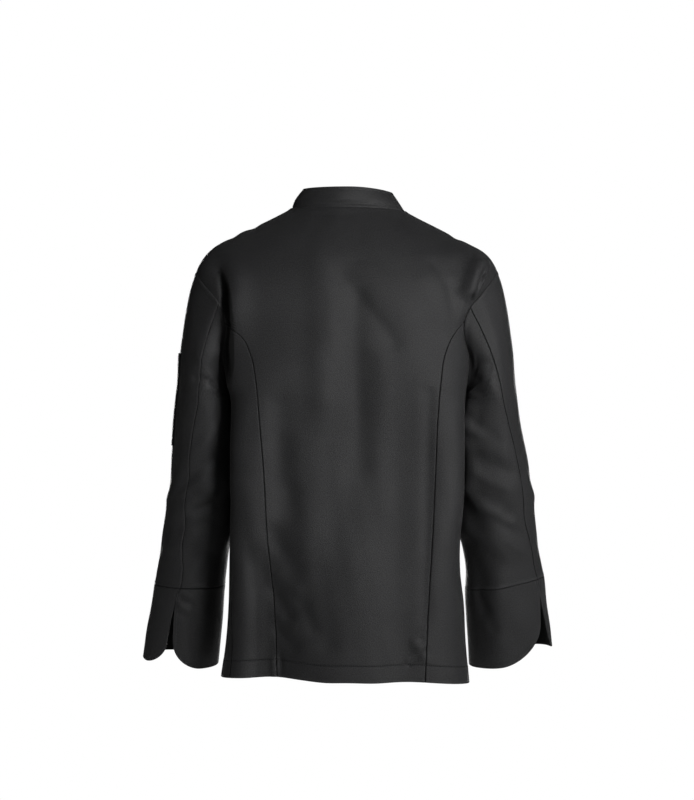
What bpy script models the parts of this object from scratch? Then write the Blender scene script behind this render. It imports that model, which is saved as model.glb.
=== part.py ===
"""A chef jacket, worn and seen without its wearer: one closed solid for each piece that is cut and sewn.

Frame: metres, +Z up. The origin is between the wearer's shoulders, level with the side of the neck.
The wearer faces -Y, so the back of the jacket is at +Y and the wearer's left is at +X.
Every table and size below is in millimetres. MM turns them into metres when a mesh is made.

The jacket is three smooth surfaces, and each panel is a patch of one of them with a wall turned inward:
  torso_surface(angle, level)         rings round the body, from the neck seam down to the hem
  sleeve_surface(side, turn, level)   from the armhole, over rings round the arm, to the end of the cuff
  collar_surface(angle, height)       the band that stands on the neck seam
"""

import math

import bmesh
import bpy
import numpy as np
from mathutils import Matrix, Vector

MM = 0.001

# Cloth and sewing
WALL = 1.6  # one layer of heavy twill with its turnings
BAND_WALL = 2.4  # collar and cuffs, two layers with interlining
SEAM_GAP = 0.3  # space left between two pieces at a seam
OVERLAP_RISE = 1.4  # how far each front moves out of, or into, the body's surface where they overlap
SLEEVE_CLEARANCE = 0.8  # between a sleeve and the body's side, where the arm hangs against it
SLEEVE_REST = 20.0  # the arm hangs against the body this far in front of its own middle
STEP = 0.4  # for slopes and normals, millimetres or thousandths of a turn
FACING_BACK = 0.25  # folds of the back fade in over this cosine of the angle from the side
FACING_FRONT = (0.6, 0.3)  # the overlap starts past this share of half a turn, over this many radians
BLUNT = 0.7  # pieces whose normals agree by more than this share one normal at their seam

# Levels: millimetres below the origin, measured at the side of the body
NECK_LEVEL = -84.0  # above the armhole the levels follow the shoulder, from the neck seam outward
ARM_TOP = 100.0
ARM_BOTTOM = 292.0
SLEEVE_START = 105.0
FIRST_RING = 305.0  # the first whole ring of the sleeve, just below the armhole
OVERLAP = 85.0  # how far each front reaches past the centre
OVERLAP_BLEND = 45.0  # the fronts part over this width beside the overlap
NECK_OVERLAP = 0.66  # of the neck's half-width, the most that a front passes the centre there
OVERLAP_TRIM = 1.0  # the upper front's neck edge is cut this much lower, to clear the collar

TORSO_NAMES = (
    "level", "left_x", "left_z", "right_x", "right_z",
    "mid_y", "back_y", "back_z", "front_y", "front_z", "front_power", "back_power",
)
TORSO = (
    (-84, 91.0, 8, 95.0, 3, -2, 56, 6, -68, -66, 2.00, 2.00),
    (-64, 108.0, -2, 113.0, -6.5, 0, 67, -9, -82, -80, 2.00, 2.00),
    (-20, 152.0, -24, 153.5, -27, 2, 89, -38, -104, -104, 2.05, 2.05),
    (30, 199.0, -46, 197.0, -50, 3, 106, -66, -120, -126, 2.10, 2.10),
    (60, 224.0, -62, 224.0, -64, 4, 114, -84, -127, -139, 2.15, 2.15),
    (80, 238.0, -78, 237.0, -77, 5, 119, -97, -130, -148, 2.20, 2.20),
    (100, 248.0, -98, 247.0, -96, 6, 124, -113, -133, -158, 2.30, 2.30),
    (160, 238.0, -160, 238.0, -160, 12, 132, -163, -140, -196, 2.50, 2.50),
    (225, 205.0, -225, 209.0, -225, 16, 134, -226, -145, -243, 2.65, 2.85),
    (292, 188.5, -292, 194.5, -292, 19, 132, -292, -147, -296, 2.70, 5.00),
    (390, 188.0, -390, 192.2, -390, 20, 126, -390, -146, -390, 2.70, 7.50),
    (474, 189.0, -474, 190.6, -474, 20, 128, -474, -144, -474, 2.70, 7.50),
    (540, 192.5, -540, 185.5, -540, 20, 137, -540, -142, -540, 2.70, 6.00),
    (592, 193.5, -592, 186.0, -592, 20, 142, -592, -142, -592, 2.65, 4.80),
    (640, 194.5, -640, 191.5, -640, 19, 143, -640, -142, -640, 2.60, 4.10),
    (700, 198.5, -700, 194.5, -700, 17, 141, -700, -143, -700, 2.60, 3.60),
    (770, 208.0, -770, 200.5, -770, 15, 138, -770, -145, -770, 2.60, 3.50),
)

# Level of the hem round the body: 0 is the centre back, 90 the wearer's left, 180 the centre front
HEM_NAMES = ("angle", "level")
HEM = (
    (-180, 768), (-125, 770), (-90, 771), (-65, 767), (-42, 762), (-20, 763),
    (0, 762), (18, 762), (32, 759), (45, 756), (62, 757), (85, 760), (105, 757), (140, 764), (180, 768),
)

# How far the armhole's edge lies behind (+) or before (-) the body's widest line.
# Turn 0 is the shoulder, 90 the back, 180 the underarm, 270 the front.
ARMHOLE_NAMES = ("turn", "reach")
ARMHOLE = (
    (0, 0), (22, 34), (42, 59), (61, 76), (79, 82), (95, 74), (117, 52), (143, 29), (165, 11),
    (180, 0), (200, -22), (225, -42), (250, -55), (275, -59), (300, -53), (325, -37), (345, -17), (360, 0),
)

# The body's cloth dips into the seam behind each arm: depth of the dip by level
CREASE_NAMES = ("level", "left_depth", "right_depth")
CREASE = (
    (100, 0, 0), (128, 1, 0), (150, 8, 5), (172, 13, 11), (200, 14, 12), (240, 10, 9), (270, 3, 3),
    (285, 0, 0), (330, 0, 0),
)
CREASE_WIDTH = 9.0

# Back seams from armhole to hem: distance from the centre. The first row of each lies on the armhole.
PRINCESS_TURN = 80.0
PRINCESS_NAMES = ("level", "left_x", "right_x")
PRINCESS = (
    (204, 165.2, 171.5), (237, 152.5, 157.5), (280, 146.0, 151.0), (334, 141.5, 146.5),
    (426, 134.0, 142.5), (547, 128.0, 137.5), (656, 122.0, 132.5), (727, 119.0, 129.0), (775, 117.0, 127.0),
)

# Side seams: how far behind the body's widest line they run
SIDE_NAMES = ("level", "left_reach", "right_reach")
SIDE = (
    (292, 0, 0), (350, 8, 2), (450, 26, 4), (600, 52, 4), (700, 72, 3), (775, 82, 2),
)

# Rings round each arm. outer and inner are distances from the centre of the body, lean_out and
# lean_forward are how far the ring leans, in degrees.
SLEEVE_NAMES = ("level", "outer", "inner", "mid_y", "deep", "lean_out", "lean_forward")
SLEEVE_LEFT = (
    (305, 281.6, 186.5, -5, 78.0, 3.0, 2.0),
    (340, 285.6, 186.5, -10.5, 74.0, 3.0, 3.0),
    (391, 289.5, 186.5, -18, 69.0, 3.5, 3.0),
    (440, 293.8, 186.5, -25.5, 65.0, 4.0, 4.0),
    (474.1, 298.4, 187.0, -31, 62.5, 5.0, 4.0),
    (500.2, 301.7, 187.5, -36, 61.0, 6.0, 4.0),
    (520.3, 305.2, 188.5, -40.5, 60.0, 6.5, 4.0),
    (540.5, 309.0, 194.0, -45, 59.0, 7.0, 4.0),
    (581, 314.3, 200.0, -54.5, 58.0, 9.0, 4.5),
    (615.4, 320.4, 204.0, -62.5, 57.0, 10.0, 5.0),
    (662.2, 329.1, 207.7, -73.5, 55.0, 8.5, 7.0),
    (703, 336.6, 212.0, -83, 53.0, 7.0, 9.0),
    (745, 343.5, 216.5, -92, 52.0, 5.0, 12.0),
)
SLEEVE_RIGHT = (
    (305, 281.0, 190.0, -5, 78.0, 3.0, 2.0),
    (340, 285.6, 190.0, -10.5, 74.0, 3.0, 3.0),
    (391, 295.5, 190.0, -18, 69.0, 3.5, 3.0),
    (440, 305.4, 189.0, -25.5, 65.0, 4.0, 4.0),
    (474.1, 310.4, 186.5, -31, 63.0, 5.0, 4.0),
    (500.2, 312.0, 184.5, -36, 62.0, 6.0, 4.0),
    (520.3, 314.6, 184.8, -40.5, 61.0, 6.5, 4.0),
    (540.5, 317.8, 190.4, -45, 60.0, 7.0, 4.0),
    (581, 323.4, 197.5, -54.5, 59.0, 9.0, 4.5),
    (612.4, 329.6, 196.7, -62.5, 58.0, 9.6, 5.0),
    (662.2, 336.3, 199.5, -73.5, 56.0, 9.3, 7.0),
    (703, 342.0, 202.4, -83, 54.0, 9.8, 9.0),
    (739.5, 347.0, 204.4, -92, 53.0, 10.5, 12.0),
)
CAP_SPREAD = 0.2  # how far the sleeve turns outward as it leaves the armhole
CAP_DIRECTION = (0.96, 0.0, 0.275)  # straight out of the armhole
SEAM_SETTLES = 80.0  # length over which a sleeve seam moves from a row of the armhole to its own line

# Sleeve seams: turn round the arm by level. The cuff opens along the back seam.
SLEEVE_SEAM_NAMES = ("level", "left_back", "right_back", "left_front", "right_front")
SLEEVE_SEAMS = (
    (105, 61.0, 67.0, 225.0, 225.0), (177, 68.0, 69.0, 227.0, 227.0), (269, 79.0, 70.0, 229.0, 229.0),
    (305, 81.0, 69.0, 230.0, 230.0), (345, 74.0, 60.0, 231.0, 231.0), (403, 68.0, 52.0, 232.0, 232.0),
    (489, 66.0, 47.0, 234.0, 234.0), (551, 71.0, 41.0, 235.0, 235.0), (611, 77.0, 36.0, 236.0, 236.0),
    (640, 72.0, 35.0, 236.0, 236.0), (740, 70.0, 35.0, 236.0, 236.0),
)
CUFF_TOP = {"left": 615.4, "right": 612.4}
CUFF_END = {"left": 745.0, "right": 739.5}
CUFF_RISE = 0.5  # the cuff stands this far out of the sleeve
CUFF_CLOSED = 20.0  # length of the slit that is held closed below the cuff seam
SPLIT_BELOW = 30.0  # below the cuff seam, the place whose turn the slit keeps down to its end
SLIT_CURVE = 1.2  # above 1 the slit opens faster towards its end
SLIT_WIDTH = {"left": 17.0, "right": 13.0}  # at the end of the cuff
CORNER_ROUND = 45.0  # round corners of the cuff beside the slit: along the edge
CORNER_RISE = 31.0  # and up from it

# Soft folds that show from a step away: troughs (height below 0) and ridges along a line from one
# place to another. On the back they are placed by x and z, on a sleeve by turn and level.
FOLD_NAMES = ("from_across", "from_down", "to_across", "to_down", "width", "height")
BACK_FOLDS = (
    (208, -92, 196, -150, 15, -4.5),  # dip that runs down from the left shoulder into the arm seam
    (174, -120, 170, -200, 18, 2.5),
    (-212, -92, -202, -130, 14, 3.5),  # ridge above the right arm seam
    (-172, -100, -176, -150, 18, -2.5),
    (46, -85, 38, -300, 26, 3.5),  # broad drape of the back
    (8, -105, -70, -215, 22, -3.0),
    (-16, -150, -18, -420, 24, -3.5),
    (90, -460, 100, -545, 22, -3.0),
    (64, -640, 40, -700, 24, -2.5),
    (-112, -700, -126, -722, 9, 3.0),
    (110, -320, 112, -530, 24, -4.5),
    (104, -620, 96, -800, 50, -8.0),
    (160, -150, 156, -215, 50, 4.5),
    (140, -575, 136, -800, 44, -15.0),  # valley along the lower left seam
)
SLEEVE_FOLDS = {
    "left": (
        (96, 150, 70, 215, 12, 3.5),
        (110, 235, 70, 262, 9, -3.5),
        (115, 395, 62, 440, 13, -4.0),
        (130, 440, 70, 480, 12, 3.0),
        (120, 500, 60, 520, 14, -3.0),
        (250, 420, 320, 460, 13, -5.0),
        (235, 465, 330, 490, 12, 4.0),
        (240, 330, 290, 370, 13, -4.0),
    ),
    "right": (
        (105, 170, 80, 225, 10, -3.0),
        (120, 395, 70, 425, 14, -4.0),
        (125, 455, 75, 492, 14, -3.5),
        (110, 520, 60, 560, 14, 3.0),
        (250, 400, 325, 440, 13, -5.0),
        (235, 450, 320, 480, 12, 4.0),
        (245, 520, 300, 540, 14, -3.0),
        (136, 322, 134, 442, 17, 7.0),
    ),
}
ARM_RADIUS = 60.0  # turns a sleeve's fold from degrees into millimetres
SLEEVE_FOLDS_FROM = 30.0  # folds fade in over this length below the armhole

COLLAR_NAMES = (
    "height", "left_x", "left_z", "right_x", "right_z",
    "mid_y", "back_y", "back_z", "front_y", "front_z", "front_power", "back_power",
)
COLLAR = (
    (0.0, 91.0, 8, 95.0, 3, -2, 56, 6, -68, -66, 2.0, 2.0),
    (0.4, 86.0, 20, 87.0, 16, -2, 55, 19.5, -68, -55, 2.0, 2.0),
    (1.0, 72.0, 40, 75.0, 33.5, -3, 50, 40.5, -64, -37, 2.0, 2.0),
)
COLLAR_END = 178.6  # degrees from the centre back to each end of the collar
COLLAR_CORNER = 9.0  # round corner at each end
COLLAR_CORNER_SHARE = 0.25  # of the collar's height that the round corner takes
COLLAR_RADIUS = 70.0
COLLAR_HEIGHT = 34.0

POCKET_TURNS = (-39.0, 21.0)
POCKET_LEVELS = (236.0, 386.0)
POCKET_WALL = 1.4
POCKET_SEAT = 0.6  # between the pocket and the sleeve
POCKET_EASE = 1.6  # how far the pocket's mouth stands off the sleeve
POCKET_MOUTH = 40.0  # length of the pocket that stands off

BUTTON_RADIUS = 9.5
BUTTON_HEIGHT = 3.6
BUTTON_SEAT = 0.4  # between the button's back and the cloth
BUTTON_X = 64.0  # of each column from the centre front
BUTTON_TOP_Z = -92.0
BUTTON_PITCH = 96.0
BUTTON_ROWS = 5
BUTTON_SIDES = 14
BUTTON_PROFILE = (  # shares of the radius and the height
    (0.0, 0.0), (0.72, 0.0), (1.0, 0.35), (1.0, 0.7), (0.9, 1.0), (0.68, 1.0), (0.58, 0.72), (0.0, 0.72),
)
BUTTON_SHARP = 40.0
CLOTH_SHARP = 50.0
MERGE = 0.02

# Rows and columns of the panels
SHOULDER_LEVELS = (-84, -74, -60, -40, -18, 6, 30, 52, 70, 86)
TURNS_ABOVE_PRINCESS = 6
TURN_CROWD = 0.8  # below 1 the rows start further apart at the shoulder
TURNS_BELOW_PRINCESS = 7
NEXT_TURN = PRINCESS_TURN + (180 - PRINCESS_TURN) / TURNS_BELOW_PRINCESS
TIP_SHARE = 0.07  # the side panel's point ends this share of a row below the seam's start
ROWS_BELOW_ARM = 13
CAP_ROWS = (0.0, 0.05, 0.13, 0.25, 0.4, 0.57, 0.75, 1.0)
SLEEVE_ROWS = 8
CUFF_ROWS = 5
CUFF_COLUMNS = 26
COLLAR_ROWS = (0, 0.2, 0.45, 0.72, 1.0)
COLLAR_POINTS = 45
POCKET_POINTS = (9, 7)
# Columns of each body panel, and how much closer they stand at its edges
BACK_COLUMNS = (20, 0.55)
SIDE_COLUMNS = (5, 0.3)
FRONT_COLUMNS = (12, 0.2)
CUFF_CROWD = 0.45


class Table:
    """Columns of numbers by name, each read as a smooth curve along the first column."""

    def __init__(self, names, rows):
        columns = np.array(rows, float).T
        self.keys = columns[0]
        self.values = dict(zip(names[1:], columns[1:]))
        self.slopes = {name: np.gradient(column, self.keys) for name, column in self.values.items()}

    def read(self, at, *names):
        at = np.asarray(at, float)
        i = np.clip(np.searchsorted(self.keys, at, side="right") - 1, 0, len(self.keys) - 2)
        span = self.keys[i + 1] - self.keys[i]
        t = (at - self.keys[i]) / span
        found = []
        for name in names or self.values:
            values, slopes = self.values[name], self.slopes[name]
            found.append(hermite(values[i], values[i + 1], slopes[i] * span, slopes[i + 1] * span, t))
        return found[0] if len(found) == 1 else found


def hermite(start, end, start_slope, end_slope, t):
    return (
        (2 * t**3 - 3 * t**2 + 1) * start
        + (t**3 - 2 * t**2 + t) * start_slope
        + (3 * t**2 - 2 * t**3) * end
        + (t**3 - t**2) * end_slope
    )


def ease(t):
    t = np.clip(t, 0.0, 1.0)
    return t * t * (3 - 2 * t)


def unit(vectors):
    return vectors / np.linalg.norm(vectors, axis=-1, keepdims=True)


TORSO_TABLE = Table(TORSO_NAMES, TORSO)
COLLAR_TABLE = Table(COLLAR_NAMES, COLLAR)
HEM_TABLE = Table(HEM_NAMES, HEM)
ARMHOLE_TABLE = Table(ARMHOLE_NAMES, ARMHOLE)
CREASE_TABLE = Table(CREASE_NAMES, CREASE)
PRINCESS_TABLE = Table(PRINCESS_NAMES, PRINCESS)
SIDE_TABLE = Table(SIDE_NAMES, SIDE)
SEAM_TABLE = Table(SLEEVE_SEAM_NAMES, SLEEVE_SEAMS)
SLEEVE_TABLES = {"left": Table(SLEEVE_NAMES, SLEEVE_LEFT), "right": Table(SLEEVE_NAMES, SLEEVE_RIGHT)}
SIGN = {"left": 1.0, "right": -1.0}


def ring(table, angle, at):
    """Point on an uneven oval ring: its four half-widths and four heights come from the table."""
    left_x, left_z, right_x, right_z, mid_y, back_y, back_z, front_y, front_z, ahead, behind = table.read(at)
    across, along_y = np.sin(angle), np.cos(angle)
    half_x = np.where(across >= 0, left_x, right_x)
    half_y = np.where(along_y >= 0, back_y - mid_y, mid_y - front_y)
    power = np.where(along_y >= 0, behind, ahead)
    radius = (np.abs(across / half_x) ** power + np.abs(along_y / half_y) ** power) ** (-1 / power)
    x, y = radius * across, radius * along_y
    side_z = np.where(across >= 0, left_z, right_z)
    middle_z = np.where(along_y >= 0, back_z, front_z)
    z = middle_z + (side_z - middle_z) * np.clip(np.abs(x) / half_x, 0, 1) ** 2
    return np.stack([x, y + mid_y, z], axis=-1)


def angle_behind(side, level, reach):
    """Angle of the point on a body ring that lies `reach` behind the ring's widest line."""
    half_x, mid, back, front = TORSO_TABLE.read(level, side + "_x", "mid_y", "back_y", "front_y")
    half_y = np.where(reach >= 0, back - mid, mid - front)
    power = np.where(reach >= 0, *TORSO_TABLE.read(level, "back_power", "front_power"))
    x = half_x * (1 - np.minimum(np.abs(reach) / half_y, 1) ** power) ** (1 / power)
    return np.arctan2(SIGN[side] * x, reach)


def angle_across(side, level, x):
    """Angle of the point on the back of a body ring at a distance x from the centre."""
    half_x, mid, back, power = TORSO_TABLE.read(level, side + "_x", "mid_y", "back_y", "back_power")
    y = (back - mid) * (1 - (x / half_x) ** power) ** (1 / power)
    return np.arctan2(SIGN[side] * x, y)


def fold_heights(folds, across, down):
    """Sum of the soft troughs and ridges at a place, each fading away from its own line."""
    total = np.zeros(np.broadcast(across, down).shape)
    for from_across, from_down, to_across, to_down, width, height in folds:
        line = np.array([to_across - from_across, to_down - from_down], float)
        away = ((across - from_across) * line[0] + (down - from_down) * line[1]) / (line @ line)
        nearest = np.clip(away, 0, 1)
        gap_across = across - from_across - nearest * line[0]
        gap_down = down - from_down - nearest * line[1]
        total += height * np.exp(-(gap_across**2 + gap_down**2) / width**2)
    return total


def torso_surface(angle, level):
    """Outer surface of the body panels. Angle is in radians from the centre back towards the left."""
    angle, level = np.broadcast_arrays(np.asarray(angle, float), np.asarray(level, float))
    point = ring(TORSO_TABLE, angle, level)
    step = STEP * MM
    slope_angle = ring(TORSO_TABLE, angle + step, level) - ring(TORSO_TABLE, angle - step, level)
    slope_level = ring(TORSO_TABLE, angle, level + STEP) - ring(TORSO_TABLE, angle, level - STEP)
    normal = unit(np.cross(slope_angle, slope_level))
    behind = ease(np.cos(angle) / FACING_BACK)
    height = fold_heights(BACK_FOLDS, point[..., 0], point[..., 2]) * behind
    point = point + normal * height[..., None]
    for side in SIGN:
        edge = angle_behind(side, level, ARMHOLE_TABLE.read(turn_at_level(level)))
        edge_x = ring(TORSO_TABLE, edge, level)[..., 0]
        away = (edge_x - point[..., 0]) * SIGN[side]
        depth = CREASE_TABLE.read(np.clip(level, ARM_TOP, CREASE_TABLE.keys[-1]), side + "_depth")
        on_side = np.sin(angle) * SIGN[side] > 0
        dip = np.where(on_side, depth * np.exp(-((away / CREASE_WIDTH) ** 2)) * behind, 0.0)
        point = point - np.stack([0 * dip, dip, 0 * dip], axis=-1)
    return point


def turn_at_level(level):
    """Turn round the back half of the armhole, in degrees, for a level between its ends."""
    share = np.clip((np.asarray(level, float) - ARM_TOP) / (ARM_BOTTOM - ARM_TOP), 0, 1)
    return np.degrees(np.arccos(1 - 2 * share))


def armhole_place(side, turn):
    """(angle, level) on the body of a place on the armhole's edge."""
    turn = np.mod(turn, 360.0)
    level = ARM_TOP + (ARM_BOTTOM - ARM_TOP) * (1 - np.cos(np.radians(turn))) / 2
    return angle_behind(side, level, ARMHOLE_TABLE.read(turn)), level


def sleeve_ring(side, turn, level):
    """Point on an oval ring round the arm: turn 0 is outward, 90 backward, 180 against the body."""
    outer, inner, mid_y, deep, lean_out, lean_forward = SLEEVE_TABLES[side].read(level)
    beside = ring(TORSO_TABLE, angle_behind(side, level, mid_y - SLEEVE_REST), level)[..., 0]
    inner = np.maximum(inner, np.abs(beside) + SLEEVE_CLEARANCE)
    middle, half = (outer + inner) / 2, (outer - inner) / 2
    out, forward = np.radians(lean_out), np.radians(lean_forward)
    across, deep = half * np.cos(np.radians(turn)), deep * np.sin(np.radians(turn))
    x = middle + across * np.cos(out)
    y = mid_y + deep * np.cos(forward)
    z = -level + across * np.sin(out) - deep * np.sin(forward)
    return np.stack([SIGN[side] * x, y, z], axis=-1)


def sleeve_plain(side, turn, level):
    """Sleeve without folds: curves from the armhole to the first ring, then the rings."""
    turn, level = np.broadcast_arrays(np.asarray(turn, float), np.asarray(level, float))
    below = sleeve_ring(side, turn, np.maximum(level, FIRST_RING))
    start = torso_surface(*armhole_place(side, turn))
    end = sleeve_ring(side, turn, np.full(turn.shape, FIRST_RING))
    chord = end - start
    length = np.linalg.norm(chord, axis=-1, keepdims=True)
    outward = np.array(CAP_DIRECTION) * (SIGN[side], 1, 1)
    leaving = unit(chord / length + CAP_SPREAD * outward) * length
    arriving = unit(sleeve_ring(side, turn, np.full(turn.shape, FIRST_RING + 1)) - end) * length
    t = np.clip((level - SLEEVE_START) / (FIRST_RING - SLEEVE_START), -0.01, 1)[..., None]
    cap = hermite(start, end, leaving, arriving, t)
    return np.where((level < FIRST_RING)[..., None], cap, below)


def sleeve_slopes(surface, side, turn, level):
    """Unit normal, and millimetres for one degree of turn and for one step of level."""
    slope_turn = (surface(side, turn + STEP, level) - surface(side, turn - STEP, level)) / (2 * STEP)
    slope_level = (surface(side, turn, level + STEP) - surface(side, turn, level - STEP)) / (2 * STEP)
    normal = unit(np.cross(slope_level, slope_turn)) * SIGN[side]
    return normal, np.linalg.norm(slope_turn, axis=-1), np.linalg.norm(slope_level, axis=-1)


def sleeve_surface(side, turn, level):
    """Outer surface of a sleeve and its cuff."""
    turn, level = np.broadcast_arrays(np.asarray(turn, float), np.asarray(level, float))
    point = sleeve_plain(side, turn, level)
    normal = sleeve_slopes(sleeve_plain, side, turn, level)[0]
    round_arm = np.radians(np.mod(turn + 90, 360) - 90) * ARM_RADIUS
    scaled = [
        (math.radians(row[0]) * ARM_RADIUS, row[1], math.radians(row[2]) * ARM_RADIUS, row[3], row[4], row[5])
        for row in SLEEVE_FOLDS[side]
    ]
    height = fold_heights(scaled, round_arm, level) * ease((level - SLEEVE_START) / SLEEVE_FOLDS_FROM)
    return point + normal * height[..., None]


def collar_surface(angle, height):
    """Outer surface of the collar: height 0 is the neck seam, 1 the top edge."""
    return ring(COLLAR_TABLE, *np.broadcast_arrays(angle, height))


def body_normal(angle, level, surface=torso_surface, level_step=STEP):
    angle_step = STEP * MM
    slope_angle = surface(angle + angle_step, level) - surface(angle - angle_step, level)
    slope_level = surface(angle, level + level_step) - surface(angle, level - level_step)
    return unit(np.cross(slope_angle, slope_level))


def around_speed(angle, level):
    """Millimetres for one radian round the body."""
    angle_step = STEP * MM
    slope = torso_surface(angle + angle_step, level) - torso_surface(angle - angle_step, level)
    return np.linalg.norm(slope, axis=-1) / (2 * angle_step)


def shared_normals(own, other):
    """Normals for an edge where two pieces meet at a blunt angle, so that both walls end in one plane."""
    agree = ease(np.sum(own * other, axis=-1, keepdims=True) / BLUNT)
    return unit(own + agree * other)


def hem_level(angle):
    degrees = np.degrees(np.mod(angle + math.pi, 2 * math.pi) - math.pi)
    return HEM_TABLE.read(degrees)


def armhole_turns():
    """Turns of the armhole's points from the shoulder round the back to the underarm."""
    above = PRINCESS_TURN * np.linspace(0, 1, TURNS_ABOVE_PRINCESS + 1) ** TURN_CROWD
    below = np.linspace(PRINCESS_TURN, 180, TURNS_BELOW_PRINCESS + 1)
    return np.concatenate([above, below[1:]])


def torso_rows():
    """Rows of the body panels: (kind, value), where value is a level, a turn or a share of the skirt."""
    rows = [("shoulder", level) for level in SHOULDER_LEVELS]
    rows += [("arm", turn) for turn in armhole_turns()]
    rows += [("skirt", (k / ROWS_BELOW_ARM)) for k in range(1, ROWS_BELOW_ARM + 1)]
    return rows


def tip_between(at_tip, at_next, share):
    return at_tip + (at_next - at_tip) * share


def row_level(kind, value, angle):
    if kind == "shoulder":
        return value + 0 * angle
    if kind == "tip":
        ends = [row_level("arm", turn, angle) for turn in (PRINCESS_TURN, NEXT_TURN)]
        return tip_between(*ends, value)
    if kind == "arm":
        return ARM_TOP + (ARM_BOTTOM - ARM_TOP) * (1 - math.cos(math.radians(value))) / 2 + 0 * angle
    return ARM_BOTTOM + (hem_level(angle) - ARM_BOTTOM) * value


def seam_level(kind, value, guess):
    """Level of a row where a seam crosses it: on the skirt the level depends on the angle."""
    return float(row_level(kind, value, np.array(guess)))


def princess_angle(side, kind, value):
    if kind == "tip":
        ends = [float(armhole_place(side, PRINCESS_TURN)[0]), princess_angle(side, "arm", NEXT_TURN)]
        return tip_between(*ends, value)
    start_angle, start_level = armhole_place(side, PRINCESS_TURN)
    start_x = abs(float(ring(TORSO_TABLE, start_angle, start_level)[0]))
    levels = [start_level, *PRINCESS_TABLE.keys]
    across = [start_x, *PRINCESS_TABLE.values[side + "_x"]]
    seam = Table(("level", "x"), tuple(zip(levels, across)))
    angle = float(start_angle) * 0.7
    for _ in range(3):
        level = seam_level(kind, value, angle)
        angle = float(angle_across(side, level, seam.read(level)))
    return angle


def side_angle(side, kind, value):
    angle = SIGN[side] * math.pi / 2
    for _ in range(3):
        level = seam_level(kind, value, angle)
        angle = float(angle_behind(side, level, SIDE_TABLE.read(level, side + "_reach")))
    return angle


def edge_angle(side, kind, value, front):
    """Angle of the outer edge of a back or front panel: shoulder seam, armhole, then side seam."""
    if kind == "shoulder":
        return SIGN[side] * math.pi / 2
    if kind == "tip":
        ends = [float(armhole_place(side, turn)[0]) for turn in (PRINCESS_TURN, NEXT_TURN)]
        return tip_between(*ends, value)
    if kind == "arm":
        return float(armhole_place(side, 360 - value if front else value)[0])
    return side_angle(side, kind, value)


def edge_spread(count, crowd):
    """Shares from 0 to 1, closer together at both ends when crowd is near 1."""
    even = np.linspace(0, 1, count + 1)
    return (1 - crowd) * even + crowd * (0.5 - 0.5 * np.cos(math.pi * even))


def body_grid(rows, low_edge, high_edge, shares, inset_low=True, inset_high=True):
    """Angles and levels of a panel between two edges, each moved in by half the seam gap."""
    angles, levels = [], []
    for kind, value in rows:
        low, high = low_edge(kind, value), high_edge(kind, value)
        for_edges = np.array([low, high])
        speed = around_speed(for_edges, row_level(kind, value, for_edges))
        low += inset_low * SEAM_GAP / 2 / speed[0]
        high -= inset_high * SEAM_GAP / 2 / speed[1]
        angle = low + (high - low) * shares
        angles.append(angle)
        levels.append(row_level(kind, value, angle))
    return np.array(angles), np.array(levels)


def sleeve_edge_normal(side, turn):
    """Normal shared by the body and the sleeve along the armhole."""
    angle, level = armhole_place(side, turn)
    of_body = body_normal(angle, level)
    of_sleeve = sleeve_slopes(sleeve_surface, side, turn, SLEEVE_START + STEP + 0 * np.asarray(turn, float))[0]
    return shared_normals(of_body, of_sleeve), shared_normals(of_sleeve, of_body)


def body_normals(rows, angles, levels, low_arm=None, high_arm=None):
    """Normals of a panel, with the shared ones where a column runs along an armhole."""
    normals = body_normal(angles, levels)
    for column, arm in ((0, low_arm), (-1, high_arm)):
        if arm is None:
            continue
        side, front, last_turn = arm
        picked = [r for r, (kind, value) in enumerate(rows) if kind == "arm" and value <= last_turn]
        turns = np.array([rows[r][1] for r in picked])
        normals[picked, column] = sleeve_edge_normal(side, 360 - turns if front else turns)[0]
    return normals


def material(name, colour, roughness, metallic=0.0):
    made = bpy.data.materials.new(name)
    made.use_nodes = True
    shader = made.node_tree.nodes["Principled BSDF"]
    shader.inputs["Base Color"].default_value = (*colour, 1.0)
    shader.inputs["Roughness"].default_value = roughness
    shader.inputs["Metallic"].default_value = metallic
    return made


def add_object(name, points, faces, finish):
    mesh = bpy.data.meshes.new(name)
    mesh.from_pydata([Vector(p) * MM for p in points], [], faces)
    mesh.materials.append(finish)
    mesh.shade_smooth()
    mesh.set_sharp_from_angle(angle=math.radians(CLOTH_SHARP))
    made = bpy.data.objects.new(name, mesh)
    bpy.context.scene.collection.objects.link(made)
    return made


def cloth_panel(name, outer, normals, wall, finish):
    """A closed body from a grid of outer points and the same grid moved inward by the wall."""
    rows, columns = outer.shape[:2]
    count = rows * columns
    points = np.concatenate([outer.reshape(-1, 3), (outer - wall * normals).reshape(-1, 3)])
    index = np.arange(count).reshape(rows, columns)
    quads = []
    for r in range(rows - 1):
        for c in range(columns - 1):
            face = (index[r, c], index[r + 1, c], index[r + 1, c + 1], index[r, c + 1])
            quads.append(face)
            quads.append(tuple(i + count for i in reversed(face)))
    rim = list(index[0, :]) + list(index[1:, -1]) + list(index[-1, -2::-1]) + list(index[-2:0:-1, 0])
    for here, there in zip(rim, rim[1:] + rim[:1]):
        quads.append((here, there, there + count, here + count))
    middle_r, middle_c = rows // 2, columns // 2
    first = outer[middle_r, middle_c]
    down = outer[middle_r - 1, middle_c] - first
    right = outer[middle_r, middle_c - 1] - first
    if np.dot(np.cross(down, right), normals[middle_r, middle_c]) < 0:
        quads = [tuple(reversed(face)) for face in quads]
    return add_object(name, points, [tuple(int(i) for i in face) for face in quads], finish)


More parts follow.
